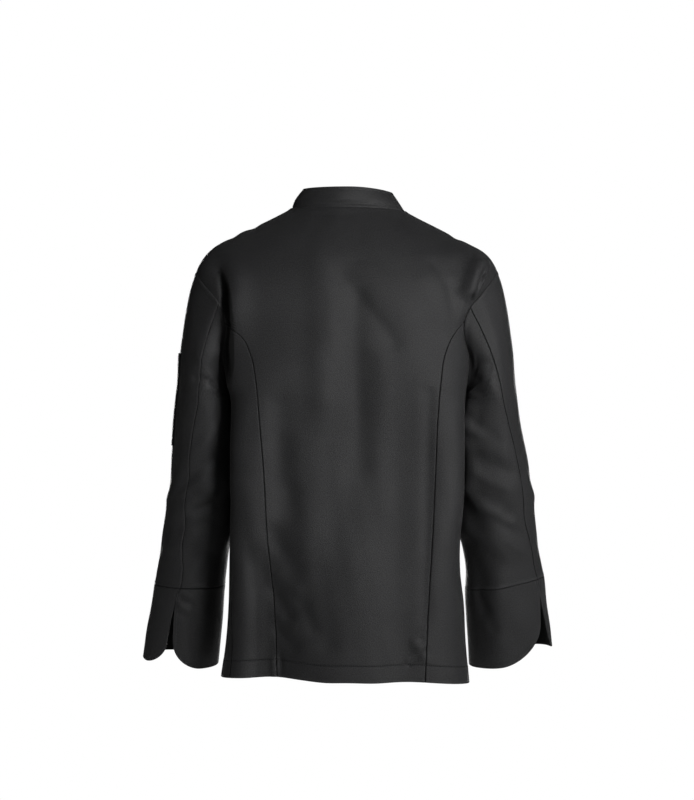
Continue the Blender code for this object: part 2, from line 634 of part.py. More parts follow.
def make_back_panels(finish):
    rows = torso_rows()
    shares = edge_spread(*BACK_COLUMNS)
    first_side_row = len(SHOULDER_LEVELS) + TURNS_ABOVE_PRINCESS

    def centre_edge(side):
        def edge(kind, value):
            above = kind == "shoulder" or (kind == "arm" and value <= PRINCESS_TURN)
            return edge_angle(side, kind, value, False) if above else princess_angle(side, kind, value)
        return edge

    angles, levels = body_grid(rows, centre_edge("right"), centre_edge("left"), shares)
    arms = [(side, False, PRINCESS_TURN) for side in ("right", "left")]
    normals = body_normals(rows, angles, levels, *arms)
    cloth_panel("back_centre", torso_surface(angles, levels), normals, WALL, finish)

    side_rows = [("tip", TIP_SHARE)] + rows[first_side_row + 1:]
    for side in SIGN:
        def inner_edge(kind, value, side=side):
            return princess_angle(side, kind, value)

        def outer_edge(kind, value, side=side):
            return edge_angle(side, kind, value, False)

        edges = (inner_edge, outer_edge) if side == "left" else (outer_edge, inner_edge)
        angles, levels = body_grid(side_rows, *edges, edge_spread(*SIDE_COLUMNS))
        arm = (side, False, 180)
        arms = (None, arm) if side == "left" else (arm, None)
        normals = body_normals(side_rows, angles, levels, *arms)
        cloth_panel("back_side_" + side, torso_surface(angles, levels), normals, WALL, finish)


def facing_front(angles):
    """1 on the front of the body, 0 on its sides and back."""
    start, blend = FACING_FRONT
    return ease((np.abs(angles) - math.pi * start) / blend)


def front_rise(side, angles, points):
    """How far a front lies out of the body's surface: the left front lies over the right one."""
    past_centre = points[..., 0] * SIGN[side]
    share = ease((OVERLAP + OVERLAP_BLEND - past_centre) / OVERLAP_BLEND)
    return share * facing_front(angles) * (OVERLAP_RISE if side == "left" else -OVERLAP_RISE)


def front_surface(side, angles, levels):
    points = torso_surface(angles, levels)
    return points + body_normal(angles, levels) * front_rise(side, angles, points)[..., None]


def front_edge_angle(side, kind, value):
    """Angle at which a front, having passed the centre, reaches its own overlap."""
    guess = SIGN[side] * math.pi * 1.15
    for _ in range(4):
        level = seam_level(kind, value, guess)
        point = ring(TORSO_TABLE, np.array(guess), np.array(level))
        half_x, mid = TORSO_TABLE.read(level, "left_x", "mid_y")
        reach = min(OVERLAP, NECK_OVERLAP * float(half_x))
        guess = SIGN[side] * (math.pi + math.atan2(reach, float(mid - point[1])))
    return guess


def make_fronts(finish):
    rows = torso_rows()
    for side in SIGN:
        def outer_edge(kind, value, side=side):
            return edge_angle(side, kind, value, True)

        def own_edge(kind, value, side=side):
            return front_edge_angle(side, kind, value)

        left = side == "left"
        edges = (outer_edge, own_edge) if left else (own_edge, outer_edge)
        shares = edge_spread(*FRONT_COLUMNS)
        angles, levels = body_grid(rows, *edges, shares, inset_low=left, inset_high=not left)
        if left:
            levels[0] += OVERLAP_TRIM * facing_front(angles[0])
        arm = (side, True, 180)
        arms = (arm, None) if left else (None, arm)
        normals = body_normals(rows, angles, levels, *arms)
        cloth_panel("front_" + side, front_surface(side, angles, levels), normals, WALL, finish)


def sleeve_grid(side, turns, levels, low_seam, high_seam):
    """Turns and levels of a sleeve panel. turns are its points on the armhole, from seam to seam."""
    shares = (turns - turns[0]) / (turns[-1] - turns[0])
    all_turns, all_levels = [], []
    for level in levels:
        low, high = low_seam(level), high_seam(level)
        for_seams = np.array([low, high])
        speed = sleeve_slopes(sleeve_plain, side, for_seams, np.full(2, max(level, SLEEVE_START + STEP)))[1]
        turn = low + (high - low) * shares
        turn[0] += SEAM_GAP / 2 / speed[0]
        turn[-1] -= SEAM_GAP / 2 / speed[1]
        all_turns.append(turn)
        all_levels.append(np.full(len(turn), level))
    all_turns, all_levels = np.array(all_turns), np.array(all_levels)
    start = SLEEVE_START + STEP
    speed = sleeve_slopes(sleeve_plain, side, all_turns[0], np.full(len(turns), start))[2]
    all_levels[0] += SEAM_GAP / speed
    all_levels[-1] -= SEAM_GAP / 2
    return all_turns, all_levels


def make_sleeves(finish):
    back_half = armhole_turns()
    all_turns = np.concatenate([back_half, 360 - back_half[-2:0:-1]])
    for side in SIGN:
        seam_back = SEAM_TABLE.values[side + "_back"][0]
        seam_front = SEAM_TABLE.values[side + "_front"][0]
        back_at = float(all_turns[np.argmin(np.abs(all_turns - seam_back))])
        front_at = float(all_turns[np.argmin(np.abs(all_turns - seam_front))])
        shift_back, shift_front = back_at - seam_back, front_at - seam_front

        def back_seam(level, side=side, shift=shift_back):
            fade = 1 - ease((level - SLEEVE_START) / SEAM_SETTLES)
            return float(SEAM_TABLE.read(level, side + "_back")) + shift * fade

        def front_seam(level, side=side, shift=shift_front):
            fade = 1 - ease((level - SLEEVE_START) / SEAM_SETTLES)
            return float(SEAM_TABLE.read(level, side + "_front")) + shift * fade

        cap = SLEEVE_START + (FIRST_RING - SLEEVE_START) * np.array(CAP_ROWS)
        straight = np.linspace(FIRST_RING, CUFF_TOP[side], SLEEVE_ROWS + 1)[1:]
        levels = np.concatenate([cap, straight])
        outside = all_turns[all_turns <= back_at]
        outside = np.concatenate([all_turns[all_turns >= front_at] - 360, outside])
        inside = all_turns[(all_turns >= back_at) & (all_turns <= front_at)]
        pieces = (
            ("top", outside, lambda level: front_seam(level) - 360, back_seam),
            ("under", inside, back_seam, front_seam),
        )
        for piece, turns, low_seam, high_seam in pieces:
            turn, level = sleeve_grid(side, turns, levels, low_seam, high_seam)
            outer = sleeve_surface(side, turn, level)
            normals = sleeve_slopes(sleeve_surface, side, turn, level)[0]
            normals[0] = sleeve_edge_normal(side, turn[0])[1]
            cloth_panel(f"sleeve_{side}_{piece}", outer, normals, WALL, finish)


def cuff_columns():
    """Shares round the cuff, closer together at the rounded corners beside the slit."""
    return edge_spread(CUFF_COLUMNS, CUFF_CROWD)


def make_cuffs(finish):
    for side in SIGN:
        top, end = CUFF_TOP[side] + SEAM_GAP / 2, CUFF_END[side]
        shares = cuff_columns()
        split = SEAM_TABLE.read(CUFF_TOP[side] + SPLIT_BELOW, side + "_back")
        length_round = 360 * math.radians(1) * ARM_RADIUS
        from_slit = np.minimum(shares, 1 - shares) * length_round
        inside = np.clip(1 - from_slit / CORNER_ROUND, 0, 1)
        last = end - CORNER_RISE * (1 - np.sqrt(1 - inside**2))
        down = np.linspace(0, 1, CUFF_ROWS + 1)[:, None]
        levels = top + (last[None, :] - top) * down
        open_share = np.clip((levels - top - CUFF_CLOSED) / (end - top - CUFF_CLOSED), 0, 1)
        half_gap = (SEAM_GAP + SLIT_WIDTH[side] * open_share**SLIT_CURVE) / 2
        seam_turn = SEAM_TABLE.read(levels, side + "_back") * (1 - down) + split * down
        half_turn = np.degrees(half_gap / ARM_RADIUS)
        turns = seam_turn + half_turn + (360 - 2 * half_turn) * shares[None, :]
        normals = sleeve_slopes(sleeve_surface, side, turns, levels)[0]
        outer = sleeve_surface(side, turns, levels) + CUFF_RISE * normals
        cloth_panel("cuff_" + side, outer, normals, BAND_WALL, finish)


def make_collar(finish):
    angles = np.radians(np.linspace(-COLLAR_END, COLLAR_END, COLLAR_POINTS))
    reach = np.minimum(np.abs(angles[0] - angles), np.abs(angles[-1] - angles)) * COLLAR_RADIUS
    corner = np.clip(1 - reach / COLLAR_CORNER, 0, 1)
    top = 1 - COLLAR_CORNER_SHARE * (1 - np.sqrt(1 - corner**2))
    lift = SEAM_GAP / COLLAR_HEIGHT
    heights = lift + (top[None, :] - lift) * np.array(COLLAR_ROWS)[:, None]
    angles = np.broadcast_to(angles, heights.shape)
    outer = collar_surface(angles, heights)
    normals = -body_normal(angles, heights, collar_surface, STEP * 0.05)
    cloth_panel("collar", outer, normals, BAND_WALL, finish)


def make_pocket(finish):
    rows, columns = POCKET_POINTS
    turns = np.linspace(*POCKET_TURNS, columns)[None, :] + 0 * np.linspace(0, 1, rows)[:, None]
    levels = np.linspace(*POCKET_LEVELS, rows)[:, None] + 0 * turns
    normals = sleeve_slopes(sleeve_surface, "left", turns, levels)[0]
    across = (turns - POCKET_TURNS[0]) / (POCKET_TURNS[1] - POCKET_TURNS[0])
    mouth = 1 - ease((levels - POCKET_LEVELS[0]) / POCKET_MOUTH)
    bulge = POCKET_EASE * mouth * np.sin(math.pi * across)
    lift = POCKET_SEAT + POCKET_WALL + bulge
    outer = sleeve_surface("left", turns, levels) + normals * lift[..., None]
    cloth_panel("sleeve_pocket", outer, normals, POCKET_WALL, finish)


def button_mesh(finish):
    """A turned button: flat back, round edge, raised rim and a sunk middle."""
    made = bmesh.new()
    points = [(r * BUTTON_RADIUS * MM, 0.0, h * BUTTON_HEIGHT * MM) for r, h in BUTTON_PROFILE]
    corners = [made.verts.new(point) for point in points]
    edges = [made.edges.new(pair) for pair in zip(corners, corners[1:])]
    bmesh.ops.spin(
        made, geom=corners + edges, cent=(0, 0, 0), axis=(0, 0, 1), angle=2 * math.pi,
        steps=BUTTON_SIDES, use_merge=True,
    )
    bmesh.ops.remove_doubles(made, verts=made.verts, dist=MERGE * MM)
    bmesh.ops.recalc_face_normals(made, faces=made.faces)
    mesh = bpy.data.meshes.new("button")
    made.to_mesh(mesh)
    made.free()
    mesh.materials.append(finish)
    mesh.shade_smooth()
    mesh.set_sharp_from_angle(angle=math.radians(BUTTON_SHARP))
    return mesh


def front_place(x, z):
    """Point on the left front's outer surface at a place seen from the front."""
    level, angle = -z, math.atan2(x, -140.0)
    for _ in range(8):
        point = front_surface("left", np.array(angle % (2 * math.pi)), np.array(level))
        level += float(point[2]) - z
        mid = float(TORSO_TABLE.read(level, "mid_y"))
        angle = math.atan2(x, float(point[1]) - mid)
    return front_surface("left", np.array(angle % (2 * math.pi)), np.array(level))


def make_buttons(finish):
    mesh = button_mesh(finish)
    front = bpy.data.objects["front_left"]
    for column, x in (("left", BUTTON_X), ("right", -BUTTON_X)):
        for row in range(BUTTON_ROWS):
            wanted = front_place(x, BUTTON_TOP_Z - row * BUTTON_PITCH)
            _, point, normal, _ = front.closest_point_on_mesh(Vector(wanted) * MM)
            button = bpy.data.objects.new(f"button_{column}_{row + 1}", mesh)
            turned = normal.to_track_quat("Z", "Y").to_matrix().to_4x4()
            button.matrix_world = Matrix.Translation(point + normal * BUTTON_SEAT * MM) @ turned
            bpy.context.scene.collection.objects.link(button)


def main():
    for old in list(bpy.data.objects):
        bpy.data.objects.remove(old, do_unlink=True)
    twill = material("black_twill", (0.028, 0.028, 0.030), 0.85)
    plastic = material("button_plastic", (0.012, 0.012, 0.013), 0.35)
    make_back_panels(twill)
    make_fronts(twill)
    make_sleeves(twill)
    make_cuffs(twill)
    make_collar(twill)
    make_pocket(twill)
    make_buttons(plastic)


main()
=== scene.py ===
"""Looks of a chef jacket that is worn and seen without its wearer: every piece of cloth, its seams, stitches
and buttons, with plain studio light.

Frame: metres, +Z up. The origin is between the wearer's shoulders, level with the side of the neck.
The wearer faces -Y, so the back of the jacket is at +Y and the wearer's left is at +X.
Every table and size below is in millimetres. MM turns them into metres when a mesh is made.

The cloth is three smooth surfaces with folds on them, and each piece is a patch of one of them:
  body_form(angle, level)         rings round the body, from the neck seam down to the hem
  sleeve_form(side, turn, level)  from the armhole, over rings round the arm, to the end of the cuff
  collar_form(angle, height)      the band that stands on the neck seam
"""

import math

import bpy
import numpy as np
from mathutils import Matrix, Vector


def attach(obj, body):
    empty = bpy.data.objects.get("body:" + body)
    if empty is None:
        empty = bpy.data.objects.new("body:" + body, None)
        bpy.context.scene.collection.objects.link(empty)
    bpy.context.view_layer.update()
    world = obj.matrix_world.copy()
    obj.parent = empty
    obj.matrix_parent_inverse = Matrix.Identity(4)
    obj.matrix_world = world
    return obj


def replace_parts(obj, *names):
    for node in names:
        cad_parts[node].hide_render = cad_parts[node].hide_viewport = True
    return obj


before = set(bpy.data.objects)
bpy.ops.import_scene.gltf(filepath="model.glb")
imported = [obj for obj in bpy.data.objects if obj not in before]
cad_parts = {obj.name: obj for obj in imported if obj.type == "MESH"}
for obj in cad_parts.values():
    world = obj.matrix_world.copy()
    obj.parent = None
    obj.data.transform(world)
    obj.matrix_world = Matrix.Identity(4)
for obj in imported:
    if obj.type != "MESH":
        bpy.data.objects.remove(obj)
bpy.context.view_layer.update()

MM = 0.001

# Cloth and sewing
WALL = 1.3  # one layer of heavy twill
BAND_WALL = 2.2  # collar and cuffs, two layers with interlining
OVERLAP_RISE = 1.4  # how far each front moves out of, or into, the body's surface where they overlap
SLEEVE_CLEARANCE = 0.8  # between a sleeve and the body's side, where the arm hangs against it
STEP = 0.4  # for slopes, millimetres or thousandths of a turn
SEAM_DIP = 1.15  # depth of a seam's groove
SEAM_REACH = 0.75  # half-width of the groove
TOPSTITCH_IN = 5.6  # topstitching from the edge that it holds
TOPSTITCH_DIP = 0.3
HEM_DEEP = 28.0  # the hem is turned up and stitched at this height
HEM_THICK = 0.35  # the turned-up layer makes the hem stand out by this much
HEM_RIPPLE = 0.16  # height of the puckers along the hem's stitches
HEM_GROOVE = 0.5  # depth of the groove that they pull
SHOULDER_TURNING = 0.5  # how far the seams' turnings stand out beside the shoulder seam, in the armhole
CAP_TURNING = 0.6
CUFF_TURNING = 0.45  # and above the cuff seam
CUFF_GROOVE = 0.4
INSIDE_RISE = 0.35  # the inner side of a cloth follows its outer side outward by no more than this
INSIDE_PAINTED_SHADE = -1.0  # painted shade: the cloth's inner side is drawn near black, as in the shadow inside the cuffs and openings
CUFF_RUB = (0.6, 1.6)  # wear of the folded edge, and how far it reaches
COLLAR_RUB = (0.7, 1.6)
RIGHT_FRONT = -60.0  # a piece whose two sides add up to less than this is the right front
SHARP_ANGLE = 70.0  # edges sharper than this are drawn sharp
STITCH_PITCH = 3.1
STITCH_LENGTH = 2.5
THREAD_RADIUS = 0.24

# Levels: millimetres below the origin, measured at the side of the body
NECK_LEVEL = -84.0  # above the armhole the levels follow the shoulder, from the neck seam outward
ARM_TOP = 100.0
ARM_BOTTOM = 292.0
SLEEVE_START = 105.0
FIRST_RING = 305.0  # the first whole ring of the sleeve, just below the armhole
OVERLAP = 85.0  # how far each front reaches past the centre
OVERLAP_BLEND = 45.0  # the fronts part over this width beside the overlap
NECK_OVERLAP = 0.66  # of the neck's half-width, the most that a front passes the centre there

TORSO_NAMES = (
    "level", "left_x", "left_z", "right_x", "right_z",
    "mid_y", "back_y", "back_z", "front_y", "front_z", "front_power", "back_power",
)
TORSO = (
    (-84, 91.0, 8, 95.0, 3, -2, 56, 6, -68, -66, 2.00, 2.00),
    (-64, 108.0, -2, 113.0, -6.5, 0, 67, -9, -82, -80, 2.00, 2.00),
    (-20, 152.0, -24, 153.5, -27, 2, 89, -38, -104, -104, 2.05, 2.05),
    (30, 199.0, -46, 197.0, -50, 3, 106, -66, -120, -126, 2.10, 2.10),
    (60, 224.0, -62, 224.0, -64, 4, 114, -84, -127, -139, 2.15, 2.15),
    (80, 238.0, -78, 237.0, -77, 5, 119, -97, -130, -148, 2.20, 2.20),
    (100, 248.0, -98, 247.0, -96, 6, 124, -113, -133, -158, 2.30, 2.30),
    (160, 238.0, -160, 238.0, -160, 12, 132, -163, -140, -196, 2.50, 2.50),
    (225, 205.0, -225, 209.0, -225, 16, 134, -226, -145, -243, 2.65, 2.85),
    (292, 188.5, -292, 194.5, -292, 19, 132, -292, -147, -296, 2.70, 5.00),
    (390, 188.0, -390, 192.2, -390, 20, 126, -390, -146, -390, 2.70, 7.50),
    (474, 189.0, -474, 190.6, -474, 20, 128, -474, -144, -474, 2.70, 7.50),
    (540, 192.5, -540, 185.5, -540, 20, 137, -540, -142, -540, 2.70, 6.00),
    (592, 193.5, -592, 186.0, -592, 20, 142, -592, -142, -592, 2.65, 4.80),
    (640, 194.5, -640, 191.5, -640, 19, 143, -640, -142, -640, 2.60, 4.10),
    (700, 198.5, -700, 194.5, -700, 17, 141, -700, -143, -700, 2.60, 3.60),
    (770, 208.0, -770, 200.5, -770, 15, 138, -770, -145, -770, 2.60, 3.50),
)

# Level of the hem round the body: 0 is the centre back, 90 the wearer's left, 180 the centre front
HEM_NAMES = ("angle", "level")
HEM = (
    (-180, 768), (-125, 770), (-90, 771), (-65, 767), (-42, 762), (-20, 763),
    (0, 762), (18, 762), (32, 759), (45, 756), (62, 757), (85, 760), (105, 757), (140, 764), (180, 768),
)

# How far the armhole's edge lies behind (+) or before (-) the body's widest line.
# Turn 0 is the shoulder, 90 the back, 180 the underarm, 270 the front.
ARMHOLE_NAMES = ("turn", "reach")
ARMHOLE = (
    (0, 0), (22, 34), (42, 59), (61, 76), (79, 82), (95, 74), (117, 52), (143, 29), (165, 11),
    (180, 0), (200, -22), (225, -42), (250, -55), (275, -59), (300, -53), (325, -37), (345, -17), (360, 0),
)

# Behind the right arm the body's cloth dips into the seam: depth of the dip by level
CREASE_NAMES = ("level", "depth")
CREASE = ((100, 0), (128, 0), (150, 5), (172, 11), (200, 12), (240, 9), (270, 3), (285, 0), (330, 0))
CREASE_WIDTH = 9.0

# Back seams from armhole to hem: distance from the centre
PRINCESS_TURN = 80.0
PRINCESS_NAMES = ("level", "left_x", "right_x")
PRINCESS = (
    (204, 165.2, 171.5), (237, 152.5, 157.5), (280, 146.0, 151.0), (334, 141.5, 146.5),
    (426, 134.0, 142.5), (547, 128.0, 137.5), (656, 122.0, 132.5), (727, 119.0, 129.0), (775, 117.0, 127.0),
)

# Side seams: how far behind the body's widest line they run
SIDE_NAMES = ("level", "left_reach", "right_reach")
SIDE = (
    (292, 0, 0), (350, 8, 2), (450, 26, 4), (600, 52, 4), (700, 72, 3), (775, 82, 2),
)

# Rings round each arm. outer and inner are distances from the centre of the body. lean_out and
# lean_forward are how far the ring leans out and forward, in degrees.
SLEEVE_NAMES = ("level", "outer", "inner", "mid_y", "deep", "lean_out", "lean_forward")
SLEEVE_LEFT = (
    (305, 281.6, 186.5, -5, 78.0, 3.0, 2.0),
    (340, 285.6, 186.5, -10.5, 74.0, 3.0, 3.0),
    (391, 289.5, 186.5, -18, 69.0, 3.5, 3.0),
    (440, 293.8, 186.5, -25.5, 65.0, 4.0, 4.0),
    (474.1, 298.4, 187.0, -31, 62.5, 5.0, 4.0),
    (500.2, 301.7, 187.5, -36, 61.0, 6.0, 4.0),
    (520.3, 305.2, 188.5, -40.5, 60.0, 6.5, 4.0),
    (540.5, 309.0, 194.0, -45, 59.0, 7.0, 4.0),
    (581, 314.3, 200.0, -54.5, 58.0, 9.0, 4.5),
    (615.4, 320.4, 204.0, -62.5, 57.0, 10.0, 5.0),
    (662.2, 329.1, 207.7, -73.5, 55.0, 8.5, 7.0),
    (703, 336.6, 212.0, -83, 53.0, 7.0, 9.0),
    (745, 343.5, 216.5, -92, 52.0, 5.0, 12.0),
)
SLEEVE_RIGHT = (
    (305, 281.0, 190.0, -5, 78.0, 3.0, 2.0),
    (340, 285.6, 190.0, -10.5, 74.0, 3.0, 3.0),
    (391, 295.5, 190.0, -18, 69.0, 3.5, 3.0),
    (440, 305.4, 189.0, -25.5, 65.0, 4.0, 4.0),
    (474.1, 310.4, 186.5, -31, 63.0, 5.0, 4.0),
    (500.2, 312.0, 184.5, -36, 62.0, 6.0, 4.0),
    (520.3, 314.6, 184.8, -40.5, 61.0, 6.5, 4.0),
    (540.5, 317.8, 190.4, -45, 60.0, 7.0, 4.0),
    (581, 323.4, 197.5, -54.5, 59.0, 9.0, 4.5),
    (612.4, 329.6, 196.7, -62.5, 58.0, 9.6, 5.0),
    (662.2, 336.3, 199.5, -73.5, 56.0, 9.3, 7.0),
    (703, 342.0, 202.4, -83, 54.0, 9.8, 9.0),
    (739.5, 347.0, 204.4, -92, 53.0, 10.5, 12.0),
)
# How much squarer than an oval the upper sleeve hangs between the back of the arm and the body. It grows
# over a length below the first ring, and goes again over a length from a level on.
SLEEVE_FULLNESS = {"left": 0.35, "right": 1.1}
FULL_GROWS = 40.0
FULL_GOES_FROM = 440.0
FULL_GOES = 60.0
ARM_AHEAD = 20.0  # the sleeve is kept clear of the body's side this far before the arm's middle
CAP_SPREAD = 0.2  # how far the sleeve turns outward as it leaves the armhole
CAP_DIRECTION = (0.96, 0.0, 0.275)  # straight out of the armhole

# Sleeve seams: turn round the arm by level. The cuff opens along the back seam.
SLEEVE_SEAM_NAMES = ("level", "left_back", "right_back", "left_front", "right_front")
SLEEVE_SEAMS = (
    (105, 61.0, 67.0, 225.0, 225.0), (177, 68.0, 69.0, 227.0, 227.0), (269, 79.0, 70.0, 229.0, 229.0),
    (305, 81.0, 69.0, 230.0, 230.0), (345, 74.0, 60.0, 231.0, 231.0), (403, 68.0, 52.0, 232.0, 232.0),
    (489, 66.0, 47.0, 234.0, 234.0), (551, 71.0, 41.0, 235.0, 235.0), (611, 77.0, 36.0, 236.0, 236.0),
    (640, 72.0, 35.0, 236.0, 236.0), (740, 70.0, 35.0, 236.0, 236.0),
)
CUFF_TOP = {"left": 615.4, "right": 612.4}
CUFF_END = {"left": 745.0, "right": 739.5}
CUFF_TILT = {"left": 9.0, "right": 0.0}  # how much lower the cuff's seam lies on the outside of the arm
# painted shade in the groove of the cuff seam, on the sleeve and on the cuff
CUFF_SEAM_PAINTED_SHADE = {"left": 0.4, "right": 0.8}
CUFF_SEAM_HIGHLIGHT = {"left": 0.15, "right": 1.3}  # painted highlight on the sleeve's small ridge above the cuff seam, strong on the right
CUFF_RISE = 0.5  # the cuff stands this far out of the sleeve
CUFF_CLOSED = 20.0  # length of the slit that is held closed below the cuff seam
SLIT_WIDTH = {"left": 17.0, "right": 31.0}  # at the end of the cuff
SLIT_SHIFT = {"left": 0.0, "right": 1.5}  # how far the slit swings outward down the cuff, in degrees
SLIT_SWELL = 1.2  # 1 is a slit with straight edges, more gives edges that curve away from each other
SLEEVE_STITCH_MARK = 4  # the one of the rows above the cuff seam that the stitching runs on
# Round corners of the cuff at the slit, behind it and in front of it: length along the edge, and up from it
CORNER_ROUND = {"left": (50.0, 45.0), "right": (64.0, 42.0)}
CORNER_RISE = {"left": (40.0, 33.0), "right": (56.0, 31.0)}

# Soft folds: a trough (height below 0) or a ridge along a line from one place to another, and its width.
# On the body they are placed by x and z, on a sleeve by turn and level.
BACK_FOLDS = (
    (208, -92, 196, -150, 15, -4.5), (174, -120, 170, -200, 18, 2.5), (-212, -92, -202, -130, 14, 3.5),
    (-172, -100, -176, -150, 18, -2.5), (46, -85, 38, -300, 26, 3.5), (8, -105, -70, -215, 22, -3.0),
    (-16, -150, -18, -420, 24, -3.5), (90, -460, 100, -545, 22, -3.0), (64, -640, 40, -700, 24, -2.5),
    (-112, -700, -126, -722, 9, 3.0), (110, -320, 112, -530, 24, -4.5), (104, -620, 96, -800, 50, -8.0),
    (160, -150, 156, -215, 50, 4.5), (140, -575, 136, -800, 44, -15.0),
)
BACK_SMALL_FOLDS = (
    (26, -92, 22, -230, 12, 0.7), (70, -100, 58, -210, 18, -0.8), (51, -8, -6, -7, 5, -0.8),
    (44, -320, 46, -520, 24, 2.2), (-56, -240, -58, -480, 20, 1.5), (2, -112, -76, -214, 9, -0.9),
    (-14, -150, -20, -330, 12, -0.9), (186, -112, 176, -220, 26, 3.6), (186, -150, 183, -280, 15, 5.0),
    (-141, -88, -171, -131, 8, -1.6), (-163, -125, -174, -168, 7, -1.4),
    (-120, -118, -152, -176, 14, 1.0), (-131, -300, -128, -660, 12, -2.4),
    (90, -454, 84, -492, 12, -1.0), (58, -500, 66, -560, 18, 0.9), (2, -520, -4, -572, 18, 1.0),
    (-100, -560, -84, -640, 18, 0.9), (122, -520, 86, -578, 17, -4.2), (110, -596, 82, -612, 10, 2.2),
    (120, -622, 96, -654, 13, -4.0), (70, -640, 55, -676, 12, -2.4), (110, -664, 88, -674, 8, 1.6),
    (116, -684, 88, -706, 11, -3.2), (40, -590, 30, -700, 20, -2.0), (182, -110, 178, -440, 24, 3.0),
    (76, -380, 84, -540, 26, 1.8), (-60, -690, -72, -735, 11, 0.6), (-112, -695, -129, -696, 4, -0.9),
    (-130, -699, -99, -728, 5, 1.4), (-130, -709, -101, -734, 4, -1.5),
    (150, -330, 168, -420, 14, -0.9), (158, -470, 150, -560, 15, 1.0), (160, -620, 172, -700, 13, -1.0),
    (-152, -380, -166, -470, 14, 0.8), (-160, -560, -150, -650, 15, -1.0),
    (104, -380, 80, -560, 20, -2.0), (126, -728, 124, -764, 5, 1.7), (112, -724, 109, -744, 6, -2.4),
    (-12, -84, -34, -84, 5, -0.5),
)
# Creases with one steep side: points along the bottom or the crest, the width of the side towards the
# wearer's right, the width of the other side, and the height
SHOULDER_RIDGE = (((-219, -72), (-208, -96), (-198, -122), (-190, -152)), 15.0, 9.5, 11.0)
SHOULDER_VALLEY = (((-219, -98), (-213, -114), (-205.4, -140)), 2.4, 3.0, -5.2)
BACK_CREASES = (
    SHOULDER_RIDGE,
    SHOULDER_VALLEY,
    (((-221, -74), (-227, -86), (-222, -106), (-213, -128)), 4.4, 3.4, 4.6),
    (((158, -500), (156, -640), (150, -900)), 95.0, 22.0, -11.0),
    (((-84, -280), (-88, -560), (-88, -900)), 70.0, 40.0, -7.0),
    (((-96, -480), (-98, -640), (-98, -900)), 55.0, 44.0, -5.0),
    (((214, -97), (208, -104)), 6.0, 7.0, -1.8),
)
CREASE_TURN = 4.0  # a crease's width changes from one side's to the other's over this distance
CREASE_FADE = 0.3  # share of its length over which a crease comes in at either end
CREASE_END = 0.08  # how far it has come in already at its very ends
# The back stands out over the left arm in a fold with a sharp edge: the edge's distance from the centre, how
# far the cloth beside the edge lies in, and how wide that hollow is
OVERHANG_NAMES = ("down", "edge", "depth", "wide")
OVERHANG = (
    (84, 210.0, 0.0, 5.0), (97, 204.5, 1.8, 5.0), (108, 199.0, 6.5, 6.0), (118, 194.2, 12.0, 7.5),
    (138, 188.6, 20.0, 8.5), (156, 185.8, 24.0, 10.0), (174, 183.6, 26.0, 10.5), (228, 182.8, 25.0, 10.5),
    (258, 183.5, 17.0, 10.0), (280, 185.5, 5.0, 9.0), (292, 187.0, 0.0, 9.0), (300, 187.0, 0.0, 9.0),
)
OVERHANG_DEEPEST = 26.0
OVERHANG_WALL = 2.8  # the fold's edge drops over this width
OVERHANG_START = 2.0  # the drop starts this far before the edge
OVERHANG_FLOOR = 4.0  # beyond the edge the hollow keeps its full depth up to here
OVERHANG_PULL = 3.0  # how far the cloth of the hollow reaches in under the edge
OVERHANG_PULL_AT = 1.5  # the distance from the edge at which it reaches in furthest
OVERHANG_PULL_WIDE = 3.0
STEP_WALL = 2.4  # on the right the body drops to the arm seam over this width
STEP_START = 0.3  # the drop starts this far from the seam
STEP_SHARE = 0.75  # of the dip's depth that this sharp step takes
# Painted dark spots at the ends of creases: painted shadow where a crease ends deep in the cloth; the surface
# is not changed
CREASE_END_SHADOWS = (
    (-204.5, -138, -203.5, -143, 3.2, 1.0),
)
# Painted shade and highlight on the back's folds: painted shade where no light gets in, a painted highlight
# on the raised fold
BACK_Y = 15.0  # the painted shade and highlight come in behind this place
BACK_BLEND = 25.0  # over this distance
HOLLOW_PAINTED_SHADE = -0.85
HOLLOW_FULL = 1.5  # the hollow is fully dark where its depth times this reaches the deepest
VALLEY_PAINTED_SHADE = 0.09  # for each millimetre of depth
RIDGE_PAINTED_HIGHLIGHT = 0.06  # for each millimetre of height
CREASE_END_PAINTED_SHADE = -1.2
# Dips that cross the shoulder seam: distance from the centre, width and depth
SHOULDER_DIPS = (
    (153.0, 8.0, -1.5), (170.0, 9.0, 0.9), (188.0, 8.0, -1.7), (-179.0, 8.0, -1.7), (-196.0, 11.0, 0.8),
)
SHOULDER_DIP_LONG = 36.0
SHOULDER_SEAM_Y = 6.0
SHOULDER_DIP_LEVEL = 60.0  # from this level outward the dips fade
SHOULDER_DIP_FADE = 40.0
FRONT_FOLDS = (
    (150, -150, 96, -250, 18, -2.6), (-150, -150, -92, -258, 18, -2.6), (166, -200, 120, -300, 15, 2.2),
    (-166, -205, -118, -310, 15, 2.2), (120, -120, 90, -190, 14, 1.6), (-118, -125, -92, -190, 14, 1.6),
    (136, -330, 118, -420, 16, -2.0), (-134, -340, -120, -430, 16, -2.0),
    (30, -430, 24, -560, 22, -2.0), (-26, -500, -34, -640, 20, 1.8), (112, -520, 120, -690, 20, -3.0),
    (-110, -540, -122, -700, 20, -3.0), (150, -560, 156, -720, 16, 2.6),
    (-150, -580, -156, -720, 16, 2.6), (60, -600, 66, -730, 16, 1.6), (-72, -620, -66, -740, 15, 1.4),
    (0, -150, 12, -230, 20, -1.4),
)
